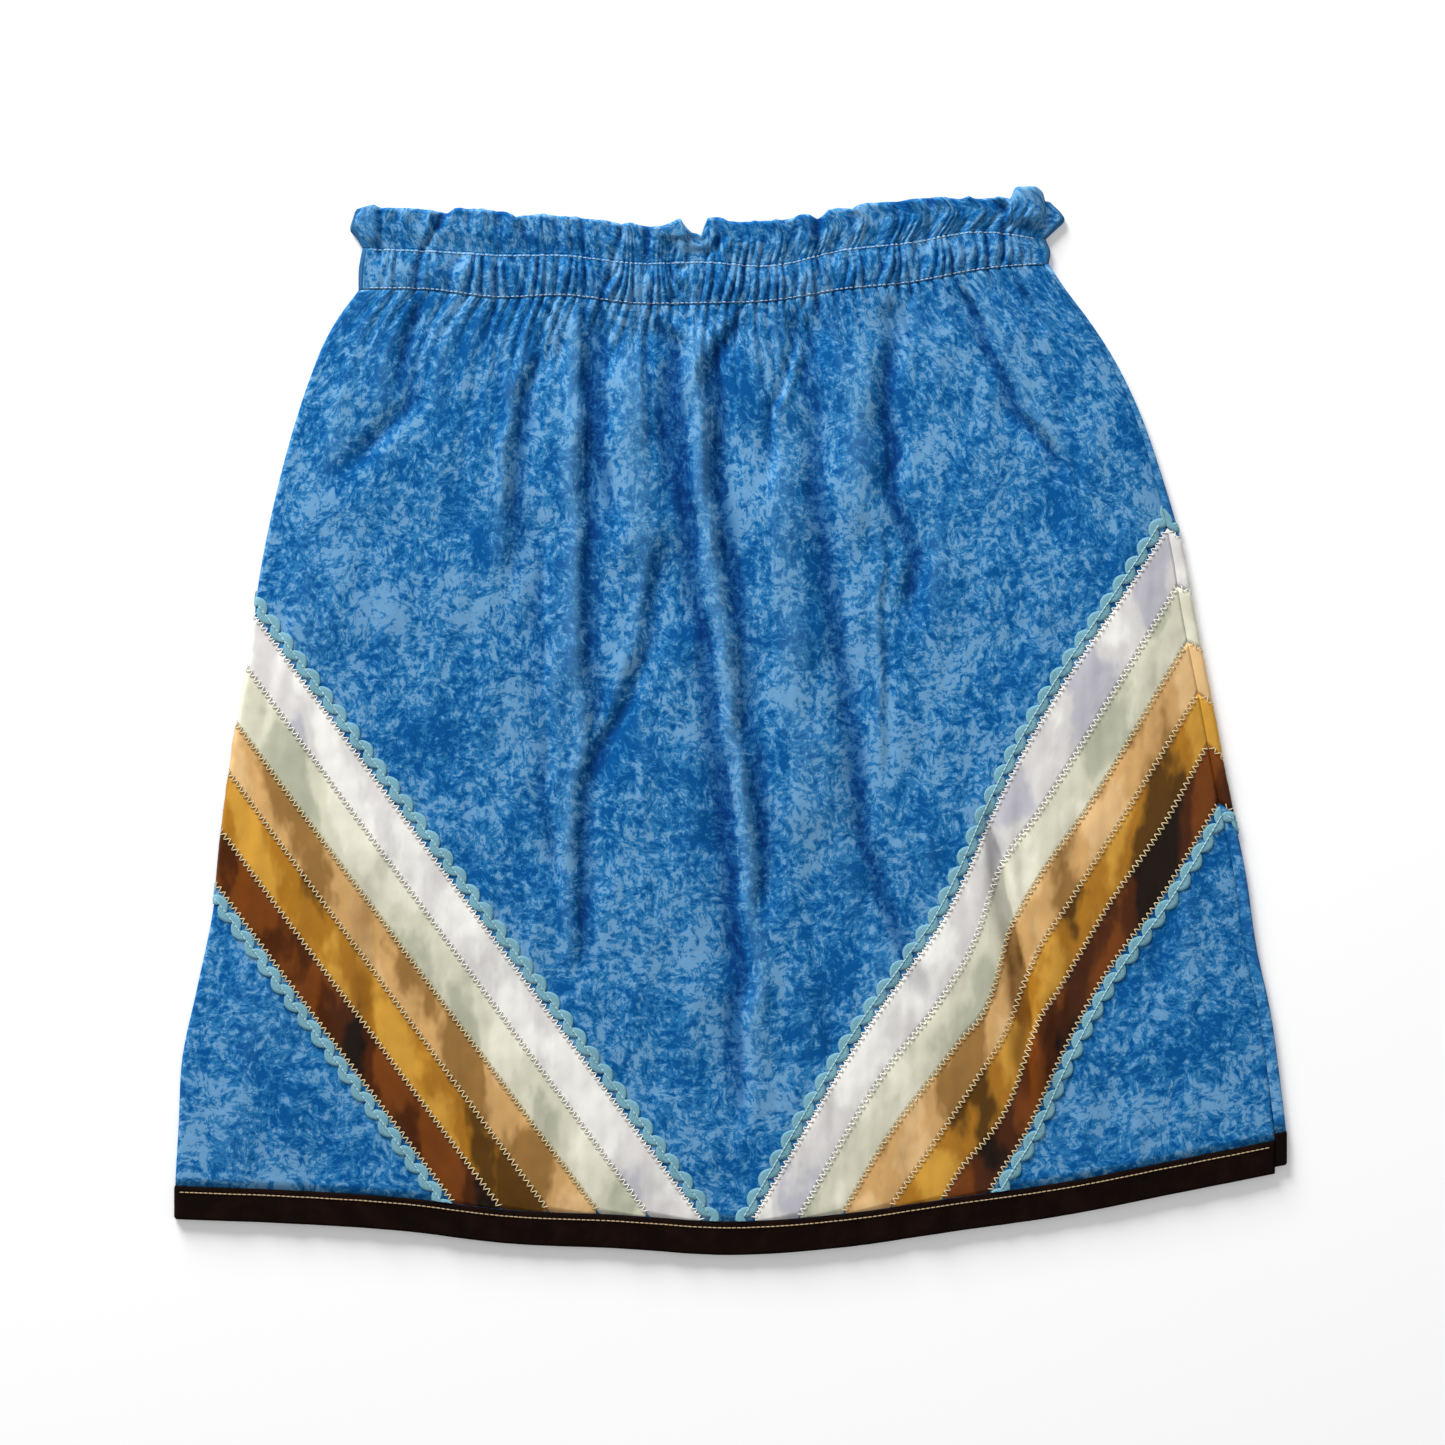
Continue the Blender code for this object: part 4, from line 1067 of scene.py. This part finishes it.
def casing_point(across, up, lift=0.0):
    """Points at a height over the casing's front."""
    left, right = read(CASING, "up", "left", up), read(CASING, "up", "right", up)
    x, z, outward = waist_section(left, right, across)
    y = casing_height((x - left) / (right - left), up)
    inside = np.clip(across, 0, 1)
    full = np.sin(math.pi * up)**0.9
    gathers = gather_relief(inside, 5 * up) * (1 + CASING_GATHER * full)
    ripple = 0.3 * full * drift(inside * 60, up * 1.5, 3.3)
    folds = STITCH_LIFT + CASING_PUFF * full + gathers + ripple + pleat_relief(x, y)
    relief = soft_floor(folds) * side_fade(inside)
    turned = 0.8 * full * np.sin(math.pi * np.clip(-across, 0, 1))
    relief = np.where((across < 0) | (across > 1), turned, relief)
    return np.stack([x, y, z], axis=-1) + outward * (relief + lift)[..., None], outward


def wave_relief(across):
    """Wide waves of the ruffle's top, from about -1 to 1."""
    return 2 * puffs(WAVE_PLACES, across, 0.9) - 1


def ruffle_top(x):
    """Y of the ruffle's top edge."""
    return np.interp(x, RUFFLE_EDGE["x"], RUFFLE_EDGE["y"]) + 0.2 * drift(x / 7, 0.0, 1.9)


def ruffle_forms(x, y):
    """Height of the ruffle's own folds: the left ear, the turned lip, the notch and the rolled end."""
    ear = 2.6 * ease((-210.6 - x) / 1.5) * ease((y - 284) / 8)
    lip = 2.4 * ease((y - 290.4) / 1.1) * ease((x + 43) / 3) * ease((-23.5 - x) / 2.5)
    notch = -2.4 * hump((x + 17.5) / 4.5) * ease((y - 277) / 6)
    cup = 1.4 * hump((x + 20) / 6) * hump((y - 286) / 2.5)
    roll = 5.2 * np.sqrt(np.clip(1 - ((x - 178.2) / 9.6)**2, 0, 1)) * ease((y - 298.5) / 4)
    hole = -2.6 * hump((x - 177.6) / 4.2) * hump((y - 298.6) / 2.0)
    return ear + lip + notch + cup + roll + hole


def ruffle_point(across, up):
    """Points of the ruffle's front, gathered at its stitching and in wide waves at its top."""
    left, right = read(RUFFLE, "up", "left", up), read(RUFFLE, "up", "right", up)
    x, z, outward = waist_section(left, right, across)
    inside = np.clip(across, 0, 1)
    low = read(ACROSS, "across", "upper_stitch", (x - left) / (right - left)) + SEAM / 2
    y = low + (ruffle_top(x) - low) * up
    opened = ease(up * 1.15)
    gathers = STITCH_LIFT + gather_relief(inside, 5.0)
    waves = RUFFLE_LIFT + RUFFLE_WAVE * wave_relief(inside)
    waves = waves + 0.6 * gather_relief(inside, 5.0) + 0.35 * drift(inside * 40, up * 1.2, 7.7)
    puffed = 1.0 * np.sin(math.pi * np.clip(up * 1.6, 0, 1))
    curl = -2.0 * np.clip((up - 0.92) / 0.08, 0, 1)**2
    relief = gathers * (1 - opened) + (waves + puffed) * opened + curl + pleat_relief(x, y)
    forms = ruffle_forms(x, y) * ease(up / 0.08) * ease(inside / 0.008)
    relief = soft_floor(relief) * side_fade(inside) + forms
    lean = 0.8 * opened * np.sin(2 * math.pi * np.interp(inside, WAVE_PLACES, np.arange(len(WAVE_PLACES))))
    points = np.stack([x + lean * side_fade(inside), y, z], axis=-1) + outward * relief[..., None]
    return points, outward


def waist_cloth(across, up, start):
    """Places on the flat cut above the body."""
    return np.stack([across * FLAT_WIDE, start + up * 26.0], axis=-1)


def add_waist_fronts():
    """Front of the casing and of the ruffle."""
    across, up = np.meshgrid(WAIST_COLUMNS, np.linspace(0, 1, 17))
    grid, _ = casing_point(across, up)
    casing = add_shell("front_casing_cloth", grid, waist_cloth(across, up, 1.0), CLOTH, 1, COTTON_LOOK)
    across, up = np.meshgrid(WAIST_COLUMNS, np.linspace(0, 1, 35))
    grid, _ = ruffle_point(across, up)
    ruffle = add_shell("front_ruffle_cloth", grid, waist_cloth(across, up, 28.0), CLOTH, 1, COTTON_LOOK)
    return casing, ruffle


BACK_GATHER_PLACES = columns_through(GATHER_PLACES, 2)


def add_waist_backs():
    """Back of the casing and of the ruffle, in small gathers pressed flat on the surface."""
    pieces = []
    across = columns_through(GATHER_PLACES, 16)
    for name, outline, start in (("casing", CASING, 1.0), ("ruffle", RUFFLE, 28.0)):
        ups = np.linspace(0, 1, 9)
        left, right = read(outline, "up", "left", ups)[:, None], read(outline, "up", "right", ups)[:, None]
        places, up = np.meshgrid(across, ups)
        x = left + (right - left) * places
        if name == "casing":
            y = casing_height(places, up)
        else:
            low = read(ACROSS, "across", "upper_stitch", places) + SEAM / 2
            y = low + (ruffle_top(x) - BACK_RUFFLE_DROP - low) * up
        z = 0.04 + BACK_GATHER * (1 - puffs(BACK_GATHER_PLACES, places, 0.8))
        cloth = waist_cloth(places, up, start) + (1500.0, 0.0)
        grid = np.stack([x, y, z], axis=-1)
        pieces.append(add_shell(f"back_{name}_cloth", grid, cloth, CLOTH, -1, COTTON_LOOK))
    return pieces


def hem_point(across, part_down, lift=0.0):
    """Points of the front hem band, from its top edge (0) to its lower edge (1)."""
    down = np.ones_like(across)
    x, z, outward = FRONT.section(across, down)
    left, right, _ = body_sides(down)
    top = read(ACROSS, "across", "hem", (x - left) / (right - left))
    y = top - SEAM / 2 - HEM_HEIGHT * part_down
    inside = np.clip(across, 0, 1)
    crown = 1 - 0.55 * (1 - ease(part_down * 12)) - 1.1 * ease((part_down - 0.93) / 0.07)
    waves = 0.16 * drift(x / 16, part_down * 0.6, 6.1)
    relief = front_relief(inside, x, top, down) * (1 - HEM_EDGE_CALM * part_down * side_fade(inside))
    relief = np.where(across < 0, 0.0, relief) + HEM_PROUD * crown + waves * side_fade(inside)
    return np.stack([x, y, z], axis=-1) + outward * (relief + lift)[..., None], outward


def back_hem_point(across, part_down, lift=0.0):
    """Points of the back hem band, flat underneath and turned over the right fold."""
    down = np.ones_like(across)
    x, z, outward = BACK.section(across, down)
    left, right, _ = body_sides(down)
    top = read(ACROSS, "across", "hem", (x - left) / (right - left)) + BACK_HEM_RAISE
    y = top - SEAM / 2 - HEM_HEIGHT * part_down
    proud = np.where(across > 0.4, HEM_PROUD * 0.7, 0.3)
    crown = 1 - 0.5 * (1 - ease(part_down * 12)) - 0.9 * ease((part_down - 0.93) / 0.07)
    relief = proud * crown - 0.45 * hump((across - 2.0) * 3)
    return np.stack([x, y, z], axis=-1) + outward * (relief + lift)[..., None], outward


def add_hem_bands():
    """Both hem bands."""
    face = np.linspace(0.12, 0.9, 9)[:-1]
    downs = np.concatenate([np.linspace(0, 0.12, 5)[:-1], face, np.linspace(0.9, 1, 6)])
    pieces = []
    for name, columns, point, facing in (
        ("front", FRONT_COLUMNS, hem_point, 1),
        ("back", BACK_COLUMNS, back_hem_point, -1),
    ):
        across, down = np.meshgrid(columns, downs)
        grid, _ = point(across, down)
        cloth = np.stack([grid[..., 0], down * HEM_HEIGHT], axis=-1)
        pieces.append(add_shell(f"{name}_hem_band_cloth", grid, cloth, CLOTH, facing, BINDING_LOOK))
    return pieces


def ribbon_crown(t):
    """Height of a ribbon's upper face over the cotton, from its upper edge (0) to its lower (1)."""
    return RIBBON_LIFT + RIBBON_CROWN * (1 - np.abs(2 * t - 1)**3)


def ribbon_wrinkle(x, y):
    """Small undulations of the sewn satin, the same for the ribbons and the stitches on them."""
    return 0.11 * drift(x / 14, y / 14, 8.2) + 0.05 * drift(x / 6, y / 6, 9.1)


def pressed(panel, across, lift):
    """A trim's height over a panel, pressed flat on the underside."""
    if panel is FRONT:
        return lift
    return lift * (1 - (1 - PRESSED) * ease((0.3 - across) / 0.3))


def add_ribbon(name, panel, upper, lower, columns, facing, look):
    """A ribbon between two lines, on every column of the panel that it crosses."""
    least = 1.2 / RIBBON_SPAN
    gap = RIBBON_GAP / 2 / RIBBON_SPAN
    top = panel.crossing(columns, upper) + gap
    bottom = np.minimum(panel.crossing(columns, lower) - gap, 0.9995)
    kept = (top < 1 - least) & (bottom - top > least)
    columns, top, bottom = columns[kept], top[kept], bottom[kept]
    t = np.linspace(0, 1, RIBBON_POINTS)[:, None]
    across = np.tile(columns, (RIBBON_POINTS, 1))
    down = top + (bottom - top) * t
    x, y = panel.unroll(across, down), panel.height(across, down)
    grid, _ = panel.point(across, down, pressed(panel, across, ribbon_crown(t) + ribbon_wrinkle(x, y)))
    slope = np.hypot(1.0, 1.4)
    cloth = np.stack([x * slope, (y - upper.height(x)) / slope], axis=-1)
    return add_shell(name, grid, cloth, RIBBON_THICK, facing, look)


def rickrack_height(a):
    """Height over the cotton across the braid, for a from -1 to 1."""
    rounded = np.sqrt(np.clip(1 - np.abs(a)**2.6, 0, 1))
    return RICKRACK_THICK * (0.32 + 0.68 * rounded) - 0.16 * hump(a / 0.22)


def rickrack_edges(distance):
    """Upper and lower edge of the braid along its line: round lobes with sharp notches between them."""
    turn = math.pi * distance / RICKRACK_WAVE
    upper = RICKRACK_HALF + RICKRACK_SWING * (2 * np.abs(np.cos(turn))**0.65 - 1)
    lower = -RICKRACK_HALF - RICKRACK_SWING * (2 * np.abs(np.sin(turn))**0.65 - 1)
    return upper, lower


def add_rickrack(name, panel, line, way, look):
    """A rickrack beside a ribbon's edge, above it for way 1 and below it for way -1."""
    reach = 14.0
    count = int((line.length + 2 * reach) / RICKRACK_WAVE * RICKRACK_STEPS)
    distance = -reach + np.arange(count + 1) * RICKRACK_WAVE / RICKRACK_STEPS
    upper, lower = rickrack_edges(distance)
    offsets = np.array([-1, -0.94, -0.72, -0.4, 0, 0.4, 0.72, 0.94, 1, 0.5, -0.5])
    on_top = np.array([1] * 9 + [0] * 2)
    beside = (upper + lower)[:, None] / 2 + (upper - lower)[:, None] / 2 * offsets
    spots = np.stack([line.beside(distance, way * RICKRACK_OFFSET + off) for off in beside.T], axis=1)
    across, down = panel.place(spots[..., 0], spots[..., 1])
    inside = (across > panel.ends[0]) & (across < panel.ends[1]) & (down < 0.9995)
    rows = np.flatnonzero(inside.any(axis=1))
    rows = np.arange(rows[0], rows[-1] + 1)
    across, down = np.clip(across[rows], *panel.ends), np.minimum(down[rows], 0.9995)
    lift = np.where(on_top, rickrack_height(offsets), 0.1)
    grid, _ = panel.point(across, down, pressed(panel, across, lift))
    count, around = grid.shape[:2]
    k = np.arange(around)
    after = (k + 1) % around
    starts = np.arange(count - 1)[:, None] * around
    faces = np.stack([starts + k, starts + after, starts + around + after, starts + around + k], axis=-1)
    last = (count - 1) * around
    caps = np.array([(0, 1, 9, 10), (1, 2, 8, 9), (2, 3, 7, 8), (3, 4, 6, 7)])
    faces = np.concatenate([faces.reshape(-1, 4), caps[:, ::-1], caps + last])
    cloth = np.stack([np.repeat(distance[rows], around), beside[rows].ravel()], axis=1)
    return add_mesh(name, grid.reshape(-1, 3), faces, cloth, look)


def zigzag_paths(panel, line, way, both):
    """Zigzag stitches over a ribbon's edge; both is true where a ribbon lies on each side of it."""
    count = int(line.length / (ZIGZAG_PITCH / 2))
    ends = np.arange(count + 1) * ZIGZAG_PITCH / 2
    ends = ends + 0.16 * drift(ends / 9, 0.0, 3.7)
    side = np.where(np.arange(count + 1) % 2, 1.0, -1.0) * (ZIGZAG_HALF + 0.12 * drift(ends / 7, 1.0, 2.2))
    t = np.linspace(0.04, 0.96, 5)
    distance = ends[:-1, None] + (ends[1:] - ends[:-1])[:, None] * t
    offset = side[:-1, None] + (side[1:] - side[:-1])[:, None] * t
    spots = line.beside(distance.ravel(), offset.ravel()).reshape(*distance.shape, 2)
    across, down = panel.place(spots[..., 0], spots[..., 1])
    kept = (
        (across.min(axis=1) > panel.ends[0]) & (across.max(axis=1) < panel.ends[1])
        & (down.max(axis=1) < 0.999)
    )
    across, down, offset, spots = across[kept], down[kept], offset[kept], spots[kept]
    on_ribbon = 1.0 if both else ease(0.5 - way * offset / (2 * ZIGZAG_HALF) * 1.6)
    wrinkle = ribbon_wrinkle(spots[..., 0], spots[..., 1])
    lift = on_ribbon * (RIBBON_LIFT + 0.14 + wrinkle) + THREAD_HIGH * (0.4 + 1.1 * np.sin(math.pi * t)**0.5)
    return panel.point(across, down, pressed(panel, across, lift))


def add_trims(panel, side, prefix, columns, facing):
    """Ribbons, rickrack and their stitches on one side of a panel."""
    lines = trim_lines(panel, side)
    pieces = {}
    for k, colour in enumerate(RIBBON_NAMES):
        name = f"{prefix}_{colour}"
        pieces[name] = add_ribbon(name, panel, lines[k], lines[k + 1], columns, facing, SATIN_LOOKS[colour])
    for name, line, way in (("upper", lines[0], 1), ("lower", lines[-1], -1)):
        key = f"{prefix.replace('satin', 'braid')}_{name}"
        pieces[key] = add_rickrack(key, panel, line, way, BRAID_LOOK)
    for k, line in enumerate(lines):
        way = 1 if k == 0 else -1
        paths, outward = zigzag_paths(panel, line, way, 0 < k < len(lines) - 1)
        name = f"{prefix}_zigzag_{k + 1}"
        look = WHITE_THREAD if k < 2 else CREAM_THREAD
        pieces[name] = add_tubes(name, paths, outward, THREAD, thread_height(panel), look)
    return pieces


def thread_height(panel):
    """Half the height of a thread, pressed flat on the underside."""
    return THREAD_HIGH if panel is FRONT else THREAD_HIGH * PRESSED


def dashes(length, shown):
    """Places along a line of straight stitches, five for each stitch."""
    starts = np.arange(0, length - STITCH_PITCH, STITCH_PITCH)
    starts = starts + 0.18 * drift(starts / 11, 0.5, 1.1)
    return starts[:, None] + STITCH_PITCH * shown * np.linspace(0, 1, 5)


def add_rickrack_stitches(panel, side, prefix):
    """Straight stitches down the middle of each rickrack."""
    lines = trim_lines(panel, side)
    pieces = {}
    for name, line, way in (("upper", lines[0], 1), ("lower", lines[-1], -1)):
        distance = dashes(line.length, PULLED_SHOWN)
        offset = np.full(distance.shape, way * RICKRACK_OFFSET)
        spots = line.beside(distance.ravel(), offset.ravel()).reshape(*distance.shape, 2)
        across, down = panel.place(spots[..., 0], spots[..., 1])
        kept = (
            (across.min(axis=1) > panel.ends[0]) & (across.max(axis=1) < panel.ends[1])
            & (down.max(axis=1) < 0.999)
        )
        across, down, distance = across[kept], down[kept], distance[kept]
        upper, lower = rickrack_edges(distance)
        lift = rickrack_height(-(upper + lower) / (upper - lower)) + 0.12
        paths, outward = panel.point(across, down, pressed(panel, across, lift))
        key = f"{prefix}_{name}_stitches"
        pieces[key] = add_tubes(key, paths, outward, THREAD, thread_height(panel), TEAL_THREAD)
    return pieces


def add_line_stitches(name, point, start, end, height, wide, shown, look):
    """Straight stitches that run across the skirt at one height of a piece."""
    distance = dashes(wide, shown)
    across = start + (end - start) * distance / wide
    paths, outward = point(across, np.full_like(across, height), THREAD_HIGH * 0.8)
    return add_tubes(name, paths, outward, THREAD, THREAD_HIGH, look)


front_panel = add_front_panel()
back_panel = add_back_panel()
front_casing, front_ruffle = add_waist_fronts()
back_casing, back_ruffle = add_waist_backs()
front_hem, back_hem = add_hem_bands()
for panel, side, prefix, columns, facing in (
    (FRONT, "left", "satin_left", FRONT_COLUMNS[1:], 1),
    (FRONT, "right", "satin_right", FRONT_COLUMNS[1:], 1),
    (BACK, "right", "satin_turn", BACK_TRIM_COLUMNS, -1),
    (BACK, "left", "satin_under", BACK_TRIM_COLUMNS, -1),
):
    add_trims(panel, side, prefix, columns, facing)
    add_rickrack_stitches(panel, side, prefix.replace("satin", "braid"))

stitches = [
    add_line_stitches(f"casing_{name}_stitches", casing_point, 0.01, 0.99, up, CASING_SEWN,
                      STITCH_SHOWN, BLUE_THREAD)
    for name, up in (("upper", 0.96), ("lower", 0.05))
]
hem_stitches = add_line_stitches("front_hem_stitches", hem_point, 0.0, 0.999, 0.18, HEM_SEWN,
                                 PULLED_SHOWN, BEIGE_THREAD)

for piece, node in (
    (front_panel, "front_panel"),
    (back_panel, "back_panel"),
    (front_casing, "front_casing"),
    (back_casing, "back_casing"),
    (front_ruffle, "front_ruffle"),
    (back_ruffle, "back_ruffle"),
    (front_hem, "front_hem_band"),
    (back_hem, "back_hem_band"),
):
    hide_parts(node)
for side in ("left", "right", "turn"):
    for colour in RIBBON_NAMES:
        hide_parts(f"ribbon_{side}_{colour}")
    for name in ("upper", "lower"):
        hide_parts(f"rickrack_{side}_{name}")

# Floor, lights and camera
FLOOR = finish("pale_floor", tuple, Base_Color=tone(252, 252, 252), Roughness=0.9, Specular_IOR_Level=0.0,
               Emission_Color=tone(255, 255, 255), Emission_Strength=0.11)
floor_mesh = bpy.data.meshes.new("floor")
floor_corners = [(x, y, -0.0003) for x, y in ((-3, -3), (3, -3), (3, 3), (-3, 3))]
floor_mesh.from_pydata(floor_corners, [], [(0, 1, 2, 3)])
floor_mesh.materials.append(FLOOR)
floor = bpy.data.objects.new("floor", floor_mesh)
bpy.context.scene.collection.objects.link(floor)


def add_area_light(name, place, size, power):
    """A square soft light that faces the skirt."""
    lamp = bpy.data.lights.new(name, "AREA")
    lamp.shape = "SQUARE"
    lamp.size = size
    lamp.energy = power
    light = bpy.data.objects.new(name, lamp)
    light.location = place
    light.rotation_euler = (-Vector(place)).to_track_quat("-Z", "Y").to_euler()
    bpy.context.scene.collection.objects.link(light)


add_area_light("key", (-1.7, 3.8, 1.55), 1.9, 330.0)
add_area_light("fill", (0.9, -0.3, 3.2), 2.0, 12.0)
world = bpy.data.worlds.new("studio")
world.use_nodes = True
world.node_tree.nodes["Background"].inputs["Color"].default_value = (1.0, 1.0, 1.0, 1.0)
world.node_tree.nodes["Background"].inputs["Strength"].default_value = 0.33
bpy.context.scene.world = world
bpy.context.scene.view_settings.view_transform = "Standard"

SENSOR_WIDE = 36.0
CAMERA_RISE = 2.6           # metres from the cloth up to the camera
SEEN_WIDE = 0.867           # metres that the picture shows at the cloth
camera_data = bpy.data.cameras.new("camera")
camera_data.sensor_width = SENSOR_WIDE
camera_data.lens = SENSOR_WIDE * CAMERA_RISE / SEEN_WIDE
camera = bpy.data.objects.new("camera", camera_data)
camera.location = (-0.0054, 0.0, 2.604)
bpy.context.scene.collection.objects.link(camera)
bpy.context.scene.camera = camera
